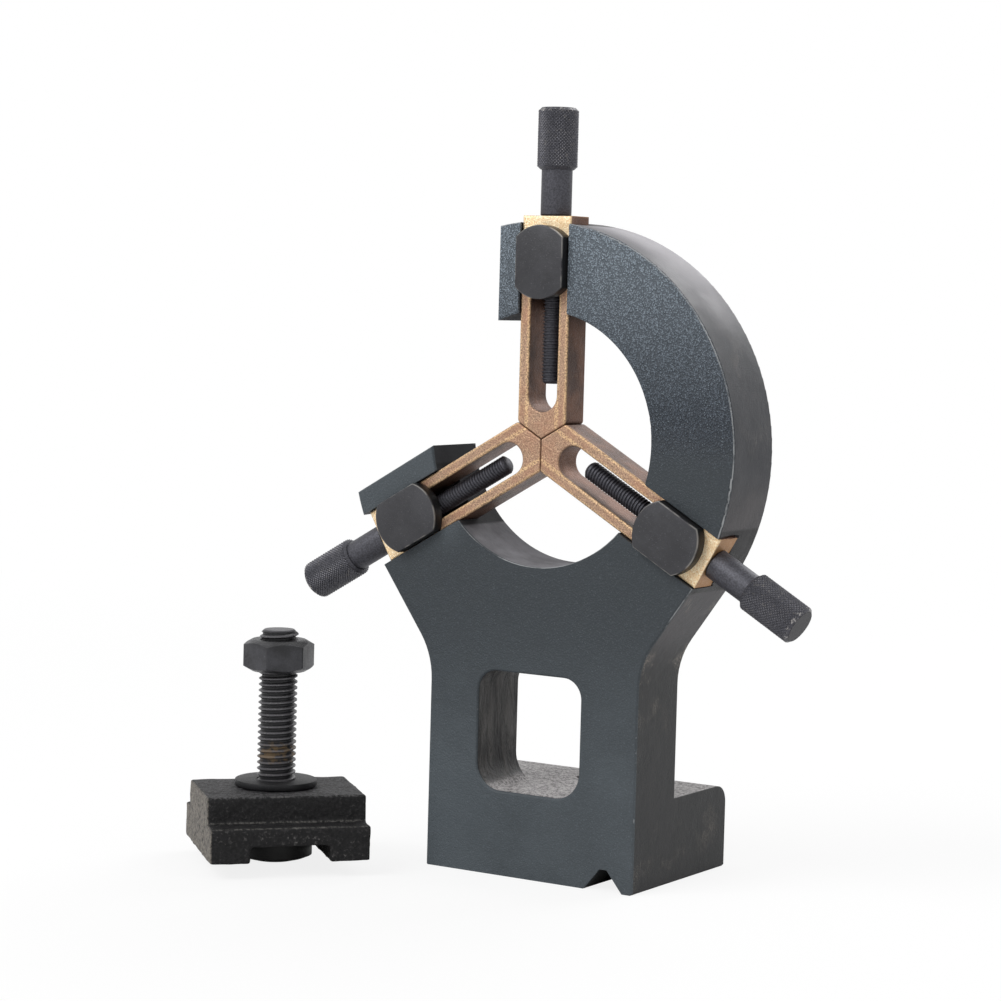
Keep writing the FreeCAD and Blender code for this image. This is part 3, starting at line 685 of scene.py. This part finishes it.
def black_oxide(name, base, light, rough=0.46, face=None):
    """Matte black oxide on steel, with a fine grain and a faint cloud. Behind a head's face it is
    painted darker, painted shade on the head's wall, and the bevel between the two is painted lighter:
    rubbed, and partly a painted highlight."""
    paint = Paint(name)
    grain = paint.noise(3800.0, detail=3.0, roughness=0.6)
    cloud = paint.noise(160.0, detail=4.0, roughness=0.6)
    colour = paint.mix(paint.band(cloud, 0.34, 0.68), base, light)
    colour = paint.mix(paint.times(paint.band(grain, 0.60, 0.74), 0.35), colour,
                       tone(120, 120, 124))
    if face is not None:
        depth = paint.minus(paint.part()[1], face)
        # Painted shade: behind the face, the head's wall is painted near black
        colour = paint.mix(paint.band(depth, 0.0003, 0.0006, 0.0, 0.85), colour, tone(22, 21, 21))
        # The bevel: lighter noisy patches, partly rubbed steel, partly a painted highlight
        bevel = paint.near(depth, 0.0002, 0.00018)
        rubbed = paint.times(bevel, paint.band(paint.noise(220.0, detail=3.0), 0.40, 0.56))
        colour = paint.mix(paint.times(rubbed, 0.7), colour, tone(150, 147, 142))
    paint.colour(colour)
    paint.rough(paint.plus(paint.times(paint.band(grain, 0.35, 0.65), 0.14), rough - 0.07))
    paint.bump((grain, 0.00004), (cloud, 0.00012))
    paint.metal(0.55, 0.5)
    return paint.material


def knurl_oxide(sizes, arm):
    """Black oxide, rubbed lighter on the knurl's points, partly a painted highlight, and round its
    outer rim, with a painted shadow line where the neck meets the jaw.
    """
    paint = Paint("knurl_oxide_" + arm)
    local = paint.turned(ARMS[arm], centre=(0.0, JAW_MIDDLE, WORK_AXIS))
    across, deep, along = paint.part(local)[:3]
    reach = paint.reach(across, deep)
    radius = sizes.head / 2
    start = sizes.seat + sizes.neck_length
    end = start + sizes.head_length
    grain = paint.noise(3000.0, detail=3.0, roughness=0.6, where=local)
    patch = paint.noise(300.0, detail=3.0, where=local)
    knurl = paint.band(along, start, start + 0.0003)
    point = paint.times(knurl,
                        paint.band(reach, radius - 0.65 * sizes.knurl, radius - 0.2 * sizes.knurl))
    # The knurl's points: lighter patches, partly rubbed steel, partly a painted highlight
    worn = paint.times(point, paint.band(patch, 0.40, 0.62))
    colour = paint.mix(paint.band(grain, 0.35, 0.66), tone(60, 60, 65), tone(80, 80, 87))
    colour = paint.mix(paint.times(worn, 0.6), colour, tone(118, 116, 118))
    dust = paint.times(paint.band(paint.noise(1300.0, detail=2.0, where=local), 0.60, 0.68), 0.35)
    colour = paint.mix(paint.times(dust, knurl), colour, tone(132, 128, 124))
    outer = paint.band(along, end - 0.0001, end - 0.00005)
    colour = paint.mix(paint.times(outer, 0.8), colour, tone(44, 43, 45))
    rim = paint.times(paint.near(along, end - sizes.bevel, 0.0005),
                      paint.band(paint.noise(1500.0, detail=2.0, where=local), 0.54, 0.62))
    colour = paint.mix(paint.times(rim, 0.7), colour, tone(170, 167, 164))
    # Painted shadow: a near-black ring where the neck meets the jaw
    foot = paint.times(paint.near(along, sizes.seat, 0.0003), 0.8)
    colour = paint.mix(foot, colour, tone(14, 12, 12))
    paint.colour(colour)
    paint.rough(paint.plus(paint.times(worn, -0.14), 0.50))
    paint.bump((grain, 0.00004))
    paint.metal(0.55, 0.5)
    return paint.material


def stud_oxide():
    """The clamp bolt's black oxide, with a rusty patch low on its thread."""
    paint = Paint("stud_oxide")
    local = paint.turned(CLAMP_ANGLE, centre=CLAMP_PLACE, axis=2)
    x, y, z = paint.part()[:3]
    grain = paint.noise(2600.0, detail=3.0, roughness=0.6)
    patch = paint.noise(420.0, detail=4.0, roughness=0.65, where=local)
    reach = paint.reach(paint.minus(x, CLAMP_PLACE[0]),
                        paint.minus(y, CLAMP_PLACE[1]))
    # Painted highlight on the thread's crests and painted shade in its roots
    crest = paint.band(reach, 0.00350, 0.00395)
    colour = paint.mix(crest, tone(34, 34, 36), tone(88, 87, 90))
    colour = paint.mix(paint.times(paint.times(crest, paint.band(grain, 0.54, 0.70)), 0.6),
                       colour, tone(132, 130, 128))
    low = paint.times(paint.band(z, 0.0200, 0.0220), paint.band(z, 0.0262, 0.0240))
    rust = paint.times(low, paint.band(patch, 0.48, 0.60))
    colour = paint.mix(paint.times(rust, 0.6), colour, tone(124, 104, 76))
    # Painted shade: the domed head under the block is painted near black
    colour = paint.mix(paint.band(z, 0.0072, 0.0060), colour, tone(18, 18, 18))
    colour = paint.mix(paint.band(z, 0.0482, 0.0484), colour, tone(78, 77, 81))
    paint.colour(colour)
    paint.rough(paint.plus(paint.times(rust, 0.25), 0.44))
    paint.bump((grain, 0.00004))
    paint.metal(0.5, 0.5)
    return paint.material


def rough_casting(sizes):
    """Black cast iron, grainy, with rubbed edges and a lighter left end."""
    paint = Paint("rough_black_casting")
    local = paint.turned(CLAMP_ANGLE, centre=CLAMP_PLACE, axis=2)
    along, across, high = paint.part(local)[:3]
    top = sizes.lift + sizes.block_height
    ledge = sizes.lift + sizes.ledge_height
    front = -sizes.block_width / 2 - sizes.hole_shift
    top_front = -sizes.block_top / 2 - sizes.hole_shift
    grain = paint.noise(1500.0, detail=5.0, roughness=0.72, where=local)
    pit = paint.cells(620.0, where=local)
    cloud = paint.noise(130.0, detail=5.0, roughness=0.65, where=local)
    # Painted light: the block's top is painted lighter than its sides, as it faces up
    painted_top_light = paint.band(high, top - 0.0006, top - 0.0002)
    dark = paint.mix(paint.band(grain, 0.40, 0.64), tone(16, 16, 17), tone(36, 35, 36))
    light = paint.mix(paint.band(grain, 0.45, 0.58), tone(14, 14, 15), tone(74, 73, 75))
    colour = paint.mix(painted_top_light, dark, light)
    speck = paint.times(paint.band(grain, 0.56, 0.66), paint.band(cloud, 0.42, 0.62))
    lower = paint.band(high, ledge, ledge - 0.0006)
    speck = paint.times(speck, paint.plus(paint.times(lower, 0.35), 0.2))
    colour = paint.mix(speck, colour, tone(118, 116, 114))
    end = paint.band(along, 0.0006 - sizes.block_length / 2, 0.0002 - sizes.block_length / 2)
    grey = paint.mix(paint.band(grain, 0.38, 0.60), tone(52, 50, 47), tone(134, 128, 120))
    colour = paint.mix(paint.times(end, 0.9), colour, grey)
    lines = [paint.times(paint.near(across, front, 0.0007), paint.near(high, ledge, 0.0005)),
             paint.times(paint.near(across, top_front, 0.0004), paint.near(high, ledge, 0.0004)),
             paint.times(paint.near(across, top_front, 0.0005), paint.near(high, top, 0.0004))]
    rubbed = paint.math("MAXIMUM", lines[0], paint.math("MAXIMUM", lines[1], lines[2]))
    rubbed = paint.times(rubbed, paint.band(grain, 0.40, 0.60))
    colour = paint.mix(paint.times(rubbed, 0.55), colour, tone(118, 116, 112))
    paint.colour(colour)
    paint.rough(paint.plus(paint.times(paint.band(grain, 0.3, 0.7), 0.18), 0.56))
    paint.bump((grain, 0.00030), (pit, 0.00018), (cloud, 0.0005))
    paint.metal(0.1, 0.25)
    return paint.material


# Properties

class SteadyPaints(bpy.types.PropertyGroup):
    """Colours of the finishes."""
    paint: bpy.props.FloatVectorProperty(
        name="Paint", description="Slate paint of the casting", subtype="COLOR", size=3,
        default=tone(73, 79, 83)[:3])
    bronze: bpy.props.FloatVectorProperty(
        name="Bronze", description="Cast bronze of the jaws", subtype="COLOR", size=3,
        default=tone(174, 143, 120)[:3])
    steel: bpy.props.FloatVectorProperty(
        name="Black steel", description="Oxidised steel of screws, bolts and nuts",
        subtype="COLOR", size=3, default=tone(58, 58, 61)[:3])
    floor: bpy.props.FloatVectorProperty(
        name="Floor", description="Floor and backdrop", subtype="COLOR", size=3,
        default=(0.86, 0.86, 0.86))


class CastingSizes(bpy.types.PropertyGroup):
    """Finish of the casting."""
    corner: bpy.props.FloatProperty(
        name="Corner", description="Round on the casting's outer corners", default=0.0009,
        unit="LENGTH")


class ScrewSizes(bpy.types.PropertyGroup):
    """Sizes of the adjusting screws."""
    start: bpy.props.FloatProperty(
        name="Start", description="Work axis to the end of the thread", default=0.0112,
        unit="LENGTH")
    thread: bpy.props.FloatProperty(
        name="Thread", description="Outer diameter of the thread", default=0.004, unit="LENGTH")
    pitch: bpy.props.FloatProperty(
        name="Pitch", description="Pitch of the thread", default=0.0007, unit="LENGTH")
    seat: bpy.props.FloatProperty(
        name="Seat", description="Work axis to the start of the neck", default=0.0453,
        unit="LENGTH")
    neck: bpy.props.FloatProperty(
        name="Neck", description="Diameter of the plain neck", default=0.0063, unit="LENGTH")
    neck_length: bpy.props.FloatProperty(
        name="Neck length", description="Length of the neck", default=0.0093, unit="LENGTH")
    head: bpy.props.FloatProperty(
        name="Head", description="Diameter of the knurled head", default=0.0083, unit="LENGTH")
    head_length: bpy.props.FloatProperty(
        name="Head length", description="Length of the knurled head", default=0.0125,
        unit="LENGTH")
    bevel: bpy.props.FloatProperty(
        name="Bevel", description="Bevel at both ends of the head", default=0.0005,
        unit="LENGTH")
    teeth: bpy.props.IntProperty(
        name="Teeth", description="Knurl diamonds round the head", default=36, min=16, max=80)
    knurl: bpy.props.FloatProperty(
        name="Knurl", description="Height of the knurl's points", default=0.0002,
        unit="LENGTH")


class BoltSizes(bpy.types.PropertyGroup):
    """Sizes of the jaw bolts and the nuts behind them."""
    head: bpy.props.FloatProperty(
        name="Head", description="Diameter of the bolt's head", default=0.015, unit="LENGTH")
    flats: bpy.props.FloatProperty(
        name="Flats", description="Width over the head's flats", default=0.0112,
        unit="LENGTH")
    depth: bpy.props.FloatProperty(
        name="Depth", description="Thickness of the head", default=0.0028, unit="LENGTH")
    shank: bpy.props.FloatProperty(
        name="Shank", description="Diameter of the shank", default=0.006, unit="LENGTH")
    nut_flats: bpy.props.FloatProperty(
        name="Nut", description="Width over the nut's flats", default=0.010, unit="LENGTH")
    nut_depth: bpy.props.FloatProperty(
        name="Nut depth", description="Thickness of the nut", default=0.005, unit="LENGTH")


class ClampSizes(bpy.types.PropertyGroup):
    """Sizes of the bed clamp."""
    thread: bpy.props.FloatProperty(
        name="Thread", description="Outer diameter of the clamp bolt", default=0.008,
        unit="LENGTH")
    pitch: bpy.props.FloatProperty(
        name="Pitch", description="Pitch of the clamp bolt's thread", default=0.00125,
        unit="LENGTH")
    top: bpy.props.FloatProperty(
        name="Top", description="End of the clamp bolt above the floor", default=0.0485,
        unit="LENGTH")
    roughness: bpy.props.FloatProperty(
        name="Casting roughness", description="How uneven the cast block is",
        default=0.00035, unit="LENGTH")
    lift: bpy.props.FloatProperty(
        name="Lift", description="Block's underside above the floor", default=0.003,
        unit="LENGTH")
    block_length: bpy.props.FloatProperty(
        name="Block length", description="Length of the block", default=0.0332, unit="LENGTH")
    block_width: bpy.props.FloatProperty(
        name="Block width", description="Width over the ledges", default=0.0327, unit="LENGTH")
    block_top: bpy.props.FloatProperty(
        name="Block top", description="Width of the block's top", default=0.023, unit="LENGTH")
    block_height: bpy.props.FloatProperty(
        name="Block height", description="Height of the block", default=0.013, unit="LENGTH")
    ledge_height: bpy.props.FloatProperty(
        name="Ledge", description="Height of the ledges", default=0.0075, unit="LENGTH")
    hole_shift: bpy.props.FloatProperty(
        name="Hole shift", description="Bolt behind the middle of the block", default=0.002,
        unit="LENGTH")
    groove_width: bpy.props.FloatProperty(
        name="Groove", description="Width of the groove under the block", default=0.016,
        unit="LENGTH")
    groove_height: bpy.props.FloatProperty(
        name="Groove height", description="Height of that groove", default=0.00335,
        unit="LENGTH")
    washer_depth: bpy.props.FloatProperty(
        name="Washer", description="Thickness of the washer", default=0.0013, unit="LENGTH")
    nut_place: bpy.props.FloatProperty(
        name="Nut place", description="Nut's underside above the floor", default=0.0399,
        unit="LENGTH")


# Pieces

def arm_matrix(angle, forward):
    """From a piece along +Z to its place on one arm."""
    return (Matrix.Translation((0.0, forward, WORK_AXIS))
            @ Matrix.Rotation(math.radians(angle), 4, "Y"))


def clamp_matrix():
    """From the clamp's own axis to its place on the floor."""
    return (Matrix.Translation(CLAMP_PLACE)
            @ Matrix.Rotation(math.radians(CLAMP_ANGLE), 4, "Z"))


def arm_corner(a, b):
    """Whether an edge of the casting runs front to back at an arm's outer end."""
    straight = abs(a.y - b.y) > 0.004 and math.hypot(a.x - b.x, a.z - b.z) < 1e-5
    return straight and math.hypot(a.x, a.z - WORK_AXIS) > 0.030 and a.z > 0.050


class STEADY_OT_casting(bpy.types.Operator):
    """Softens the casting's edges and paints it"""
    bl_idname = "steady.casting"
    bl_label = "Casting"

    def execute(self, context):
        casting = copy_of(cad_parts["frame"], "painted_casting")
        edit(casting, "VERT")
        bpy.ops.mesh.select_all(action="SELECT")
        bpy.ops.mesh.remove_doubles(threshold=MERGE)
        bpy.ops.mesh.dissolve_limited(angle_limit=math.radians(0.05))
        edit(casting, "EDGE")
        bpy.ops.mesh.edges_select_sharp(sharpness=math.radians(30.0))
        keep_edges(casting, arm_corner)
        bpy.ops.mesh.bevel(offset=context.scene.steady_casting.corner, segments=4)
        done()
        add_modifier(casting, "TRIANGULATE")
        make_active(casting)
        bpy.ops.mesh.customdata_custom_splitnormals_clear()
        smooth(casting, 30.0)
        add_modifier(casting, "WEIGHTED_NORMAL", keep_sharp=True, weight=80)
        dress(casting, hammered_paint(context.scene.steady_paints))
        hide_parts("frame")
        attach(casting, "rest")
        return {"FINISHED"}


class STEADY_OT_jaws(bpy.types.Operator):
    """Gives each jaw its cast bronze"""
    bl_idname = "steady.jaws"
    bl_label = "Jaws"

    def execute(self, context):
        for arm, angle in ARMS.items():
            dress_node(arm + "_jaw",
                       cast_bronze("cast_bronze_" + arm, angle, context.scene.steady_paints))
        return {"FINISHED"}


class STEADY_OT_screws(bpy.types.Operator):
    """Turns the three adjusting screws with their knurled heads and threads"""
    bl_idname = "steady.screws"
    bl_label = "Adjusting screws"

    def execute(self, context):
        sizes = context.scene.steady_screws
        head_start = sizes.seat + sizes.neck_length
        head_end = head_start + sizes.head_length
        head = knurled_head("head", sizes.head / 2, head_start, head_end, sizes.bevel,
                            sizes.teeth, sizes.knurl)
        smooth(head, 12.0)
        neck = rod("neck", sizes.neck / 2, sizes.seat, head_start + 0.0002)
        edit(neck, "EDGE")
        pick_edges(neck, lambda a, b: abs(a.z - sizes.seat) < 1e-6 and abs(b.z - sizes.seat) < 1e-6)
        bpy.ops.mesh.bevel(offset=0.00015, segments=2)
        done()
        smooth(neck)
        tip_bevel = 0.0004
        shank = threaded_rod("shank", sizes.thread / 2, sizes.pitch, sizes.start + tip_bevel / 2,
                             sizes.seat + 0.0002, tip_bevel, 0.0)
        smooth(shank, 40.0)
        tip = rod("tip", sizes.thread / 2 - 0.00022, sizes.start + tip_bevel, sizes.start + 0.0012)
        bevel_end(tip, sizes.start + tip_bevel, tip_bevel)
        smooth(tip, 60.0)
        screw = join([head, neck, shank, tip], "screw")
        for arm, angle in ARMS.items():
            piece = copy_of(screw, arm + "_adjusting_screw")
            place(piece, arm_matrix(angle, JAW_MIDDLE))
            dress(piece, knurl_oxide(sizes, arm))
            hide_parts(arm + "_screw")
            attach(piece, arm + "_screw")
        bpy.data.objects.remove(screw, do_unlink=True)
        collar = black_oxide("collar_oxide", tone(48, 48, 50), tone(66, 66, 70))
        for arm in ARMS:
            dress_node(arm + "_screw_collar", collar)
        return {"FINISHED"}


class STEADY_OT_jaw_bolts(bpy.types.Operator):
    """Makes the jaw bolts with their flats, threaded tails, washers and nuts"""
    bl_idname = "steady.jaw_bolts"
    bl_label = "Jaw bolts"

    def execute(self, context):
        sizes = context.scene.steady_bolts
        steel = tuple(context.scene.steady_paints.steel) + (1.0,)
        tail_end = 0.02445
        head = rod("bolt", sizes.head / 2, -sizes.depth, 0.0, sides=128)
        for side in (-1, 1):
            edit(head)
            bpy.ops.mesh.select_all(action="SELECT")
            bpy.ops.mesh.bisect(plane_co=(side * sizes.flats / 2, 0, 0), plane_no=(side, 0, 0),
                                clear_outer=True, use_fill=True)
            done()
        edit(head, "EDGE")
        pick_edges(head, lambda a, b: abs(a.z + sizes.depth) < 1e-6 and abs(b.z + sizes.depth) < 1e-6)
        bpy.ops.mesh.bevel(offset=0.0004, segments=2, profile=0.6)
        done()
        shank = rod("shank", sizes.shank / 2 - 0.00002, -0.0002, 0.0090)
        cross_hole = rod("cross_hole", 0.00205, -0.008, 0.008)
        place(cross_hole, Matrix.Translation((0, 0, 0.00355))
              @ Matrix.Rotation(math.radians(90.0), 4, "X"))
        cut(shank, cross_hole)
        tail = threaded_rod("tail", sizes.shank / 2, 0.001, 0.0088, tail_end, 0.0, 0.0006)
        for part, angle in ((head, 30.0), (shank, 30.0), (tail, 40.0)):
            outwards(part)
            smooth(part, angle)
        bolt = join([head, shank, tail], "bolt")
        nut = hexagon_nut("nut", sizes.nut_flats, sizes.nut_depth, sizes.shank / 2 - 0.0004, 0.0004)
        smooth(nut)
        washer_depth = 0.0016
        washer = flat_washer("washer", 0.0060, 0.00302, washer_depth)
        head_finish = black_oxide("bolt_head_oxide", shade(steel, 0.90), shade(steel, 1.20), 0.42,
                                  face=JAW_FACE - SEAT_GAP - sizes.depth)
        back_finish = black_oxide("nut_oxide", tone(44, 44, 46), tone(68, 68, 72), 0.44)
        facing_back = Matrix.Rotation(math.radians(-90.0), 4, "X")
        for arm, angle in ARMS.items():
            for source, name, forward, finish in (
                    (bolt, "_jaw_bolt", JAW_FACE - SEAT_GAP, head_finish),
                    (washer, "_washer", FRAME_BACK, back_finish),
                    (nut, "_nut", FRAME_BACK + washer_depth, back_finish)):
                piece = copy_of(source, arm + name + "_detail")
                place(piece, arm_matrix(angle, forward)
                      @ Matrix.Translation((0, 0, BOLT_RADIUS)) @ facing_back)
                dress(piece, finish)
                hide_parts(arm + name)
                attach(piece, "rest")
        for source in (bolt, washer, nut):
            bpy.data.objects.remove(source, do_unlink=True)
        return {"FINISHED"}


class STEADY_OT_clamp_block(bpy.types.Operator):
    """Casts the stepped clamp block with its groove and uneven skin"""
    bl_idname = "steady.clamp_block"
    bl_label = "Clamp block"

    def execute(self, context):
        sizes = context.scene.steady_clamp
        half, width = sizes.block_length / 2, sizes.block_width / 2
        lift, middle = sizes.lift, -sizes.hole_shift
        top = lift + sizes.block_height
        block = bar("clamp_casting", (-half, middle - width, lift), (half, middle + width, top))
        reach = 0.02
        for side in (-1, 1):
            step = bar("step", (-reach, 0.0, lift + sizes.ledge_height), (reach, reach, top + reach))
            place(step, Matrix.Translation((0, middle, 0)) @ Matrix.Diagonal((1, side, 1, 1))
                  @ Matrix.Translation((0, sizes.block_top / 2, 0)))
            outwards(step)
            cut(block, step)
        groove = sizes.groove_width / 2
        cut(block, bar("groove", (-groove, middle - reach, 0.0),
                       (groove, middle + reach, lift + sizes.groove_height)))
        edit(block, "EDGE")
        pick_edges(block, lambda a, b: (a - b).length > 0.0004)
        bpy.ops.mesh.bevel(offset=0.0005, segments=3)
        done()
        add_modifier(block, "REMESH", mode="VOXEL", voxel_size=0.00042)
        grain = bpy.data.textures.new("cast_skin", "CLOUDS")
        grain.noise_scale = 0.0035
        grain.noise_depth = 3
        add_modifier(block, "DISPLACE", texture=grain, strength=sizes.roughness, mid_level=1.0,
                     texture_coords="LOCAL")
        cut(block, bar("square_hole", (-0.00402, -0.00402, 0.0), (0.00402, 0.00402, 0.03)))
        smooth(block, 60.0)
        place(block, clamp_matrix())
        dress(block, rough_casting(sizes))
        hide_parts("clamp_block")
        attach(block, "rest")
        return {"FINISHED"}


class STEADY_OT_clamp_bolt(bpy.types.Operator):
    """Makes the clamp bolt with its domed head and thread, its washer and its nut"""
    bl_idname = "steady.clamp_bolt"
    bl_label = "Clamp bolt"

    def execute(self, context):
        sizes = context.scene.steady_clamp
        seat = sizes.lift + sizes.groove_height
        head = rod("head", 0.0078, 0.0017, seat, sides=96)
        dome = ((0.00055, 0.0013), (0.00055, 0.0020), (0.0004, 0.0022), (0.0002, 0.0020))
        for rise, shrink in dome:
            edit(head)
            lowest = min(vertex.co.z for vertex in head.data.vertices)
            pick_faces(head, lambda centre, normal: normal.z < -0.9
                       and abs(centre.z - lowest) < 1e-6)
            bpy.ops.mesh.inset(thickness=shrink, depth=0.0)
            bpy.ops.transform.translate(value=(0, 0, -rise))
            done()
        square = 0.004
        neck = bar("neck", (-square, -square, seat - 0.0001), (square, square, seat + 0.0045))
        shank = threaded_rod("shank", sizes.thread / 2, sizes.pitch, seat + 0.0044, sizes.top,
                             0.0, 0.0009, sides=56)
        for part, angle in ((head, 40.0), (neck, 30.0), (shank, 40.0)):
            outwards(part)
            smooth(part, angle)
        stud = join([head, neck, shank], "clamp_stud")
        nut = hexagon_nut("clamp_nut_detail", 0.013, 0.0065, sizes.thread / 2 - 0.0005, 0.0009)
        smooth(nut)
        washer = flat_washer("clamp_washer_detail", 0.0085, 0.00402, sizes.washer_depth)
        nut_finish = black_oxide("clamp_nut_oxide", tone(42, 42, 44), tone(66, 66, 70), 0.42)
        washer_finish = black_oxide("clamp_washer_oxide", tone(22, 22, 24), tone(38, 38, 40), 0.56)
        for piece, height, node, finish in (
                (stud, 0.0, "clamp_bolt", stud_oxide()),
                (nut, sizes.nut_place, "clamp_nut", nut_finish),
                (washer, sizes.lift + sizes.block_height, "clamp_washer", washer_finish)):
            place(piece, Matrix.Translation((0, 0, height)) @ clamp_matrix())
            dress(piece, finish)
            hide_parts(node)
            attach(piece, "rest")
        return {"FINISHED"}


class STEADY_OT_stage(bpy.types.Operator):
    """Sets up the floor, the backdrop, the lights and the camera"""
    bl_idname = "steady.stage"
    bl_label = "Stage"

    def execute(self, context):
        start_fresh()
        bpy.ops.mesh.primitive_plane_add(size=8.0, location=(0, 0, 0))
        floor = bpy.context.object
        floor.name = "floor"
        paper = bpy.data.materials.new("pale_paper")
        paper.use_nodes = True
        tree = paper.node_tree
        shader = next(node for node in tree.nodes if node.type == "BSDF_PRINCIPLED")
        shader.inputs["Base Color"].default_value = tuple(context.scene.steady_paints.floor) + (1.0,)
        shader.inputs["Roughness"].default_value = 0.9
        shader.inputs["Specular IOR Level"].default_value = 0.1
        rays = tree.nodes.new("ShaderNodeLightPath")
        glow = tree.nodes.new("ShaderNodeEmission")
        glow.inputs["Color"].default_value = (1, 1, 1, 1)
        glow.inputs["Strength"].default_value = 1.0
        blend = tree.nodes.new("ShaderNodeMixShader")
        coords = tree.nodes.new("ShaderNodeTexCoord")
        away = tree.nodes.new("ShaderNodeVectorMath")
        away.operation = "LENGTH"
        tree.links.new(coords.outputs["Object"], away.inputs[0])
        fade = tree.nodes.new("ShaderNodeMapRange")
        fade.interpolation_type = "SMOOTHSTEP"
        fade.inputs["From Min"].default_value = 0.10
        fade.inputs["From Max"].default_value = 0.60
        fade.inputs["To Min"].default_value = 0.84
        fade.inputs["To Max"].default_value = 1.0
        tree.links.new(away.outputs["Value"], fade.inputs["Value"])
        seen = tree.nodes.new("ShaderNodeMath")
        seen.operation = "MULTIPLY"
        tree.links.new(rays.outputs["Is Camera Ray"], seen.inputs[0])
        tree.links.new(fade.outputs["Result"], seen.inputs[1])
        tree.links.new(seen.outputs[0], blend.inputs["Fac"])
        tree.links.new(shader.outputs[0], blend.inputs[1])
        tree.links.new(glow.outputs[0], blend.inputs[2])
        out = next(node for node in tree.nodes if node.type == "OUTPUT_MATERIAL")
        tree.links.new(blend.outputs[0], out.inputs["Surface"])
        dress(floor, paper)

        world = bpy.data.worlds.new("studio")
        context.scene.world = world
        world.use_nodes = True
        tree = world.node_tree
        tree.nodes.clear()
        rays = tree.nodes.new("ShaderNodeLightPath")
        dim = tree.nodes.new("ShaderNodeBackground")
        dim.inputs["Color"].default_value = (1, 1, 1, 1)
        dim.inputs["Strength"].default_value = 0.55
        white = tree.nodes.new("ShaderNodeBackground")
        white.inputs["Color"].default_value = (1, 1, 1, 1)
        white.inputs["Strength"].default_value = 1.0
        blend = tree.nodes.new("ShaderNodeMixShader")
        out = tree.nodes.new("ShaderNodeOutputWorld")
        shown = rays.outputs["Is Camera Ray"]
        for kind in ("Is Glossy Ray", "Is Transmission Ray"):
            either = tree.nodes.new("ShaderNodeMath")
            either.operation = "MAXIMUM"
            tree.links.new(shown, either.inputs[0])
            tree.links.new(rays.outputs[kind], either.inputs[1])
            shown = either.outputs[0]
        tree.links.new(shown, blend.inputs["Fac"])
        tree.links.new(dim.outputs[0], blend.inputs[1])
        tree.links.new(white.outputs[0], blend.inputs[2])
        tree.links.new(blend.outputs[0], out.inputs["Surface"])

        aim = Vector((-0.005, -0.02, 0.065))
        for name, place_at, size, power in (
                ("key", (-0.35, -0.75, 0.80), 0.60, 7.0),
                ("side", (0.80, -0.10, 0.45), 0.50, 0.6),
                ("back", (0.15, 0.70, 0.70), 0.60, 4.2)):
            lamp = bpy.data.lights.new(name, "AREA")
            lamp.shape = "SQUARE"
            lamp.size = size
            lamp.energy = power
            holder = bpy.data.objects.new(name, lamp)
            context.collection.objects.link(holder)
            holder.location = place_at
            holder.rotation_euler = (aim - Vector(place_at)).to_track_quat("-Z", "Y").to_euler()

        azimuth, elevation, roll = (math.radians(turn) for turn in (31.93, 2.87, 1.60))
        forward = Vector((-math.sin(azimuth) * math.cos(elevation),
                          math.cos(azimuth) * math.cos(elevation), -math.sin(elevation)))
        right = Vector((math.cos(azimuth), math.sin(azimuth), 0.0))
        up = right.cross(forward)
        tilted = right * math.cos(roll) + up * math.sin(roll)
        upright = tilted.cross(forward)
        camera_data = bpy.data.cameras.new("camera")
        camera_data.sensor_width = 36.0
        camera_data.sensor_fit = "HORIZONTAL"
        camera_data.lens = 36.0 * 2800.0 / 1001.0
        camera_data.shift_x = -(540.6 - 500.5) / 1001.0
        camera_data.shift_y = (439.1 - 500.5) / 1001.0
        camera_data.clip_start = 0.01
        camera = bpy.data.objects.new("camera", camera_data)
        context.collection.objects.link(camera)
        spot = Vector((0.0, -0.0267, 0.090)) - forward * 0.5674
        camera.matrix_world = Matrix((
            (tilted.x, upright.x, -forward.x, spot.x),
            (tilted.y, upright.y, -forward.y, spot.y),
            (tilted.z, upright.z, -forward.z, spot.z),
            (0, 0, 0, 1)))
        context.scene.camera = camera
        context.scene.view_settings.view_transform = "Standard"
        return {"FINISHED"}


class STEADY_PT_panel(bpy.types.Panel):
    """The pieces and finishes of the steady rest"""
    bl_idname = "STEADY_PT_panel"
    bl_label = "Steady Rest"
    bl_space_type = "VIEW_3D"
    bl_region_type = "UI"
    bl_category = "Steady Rest"

    def draw(self, context):
        layout = self.layout
        scene = context.scene
        for group in (scene.steady_paints, scene.steady_casting, scene.steady_screws,
                      scene.steady_bolts, scene.steady_clamp):
            box = layout.box()
            for name in group.bl_rna.properties.keys():
                if name not in ("rna_type", "name"):
                    box.prop(group, name)
        for operator in PIECES:
            layout.operator(operator.bl_idname)


PIECES = (STEADY_OT_casting, STEADY_OT_jaws, STEADY_OT_screws, STEADY_OT_jaw_bolts,
          STEADY_OT_clamp_block, STEADY_OT_clamp_bolt, STEADY_OT_stage)
CLASSES = (SteadyPaints, CastingSizes, ScrewSizes, BoltSizes, ClampSizes) + PIECES + (STEADY_PT_panel,)


def register():
    for item in CLASSES:
        bpy.utils.register_class(item)
    scene = bpy.types.Scene
    scene.steady_paints = bpy.props.PointerProperty(type=SteadyPaints)
    scene.steady_casting = bpy.props.PointerProperty(type=CastingSizes)
    scene.steady_screws = bpy.props.PointerProperty(type=ScrewSizes)
    scene.steady_bolts = bpy.props.PointerProperty(type=BoltSizes)
    scene.steady_clamp = bpy.props.PointerProperty(type=ClampSizes)


def unregister():
    scene = bpy.types.Scene
    del scene.steady_paints
    del scene.steady_casting
    del scene.steady_screws
    del scene.steady_bolts
    del scene.steady_clamp
    for item in reversed(CLASSES):
        bpy.utils.unregister_class(item)


def main():
    register()
    bpy.ops.steady.casting()
    bpy.ops.steady.jaws()
    bpy.ops.steady.screws()
    bpy.ops.steady.jaw_bolts()
    bpy.ops.steady.clamp_block()
    bpy.ops.steady.clamp_bolt()
    bpy.ops.steady.stage()


if __name__ == "__main__":
    main()
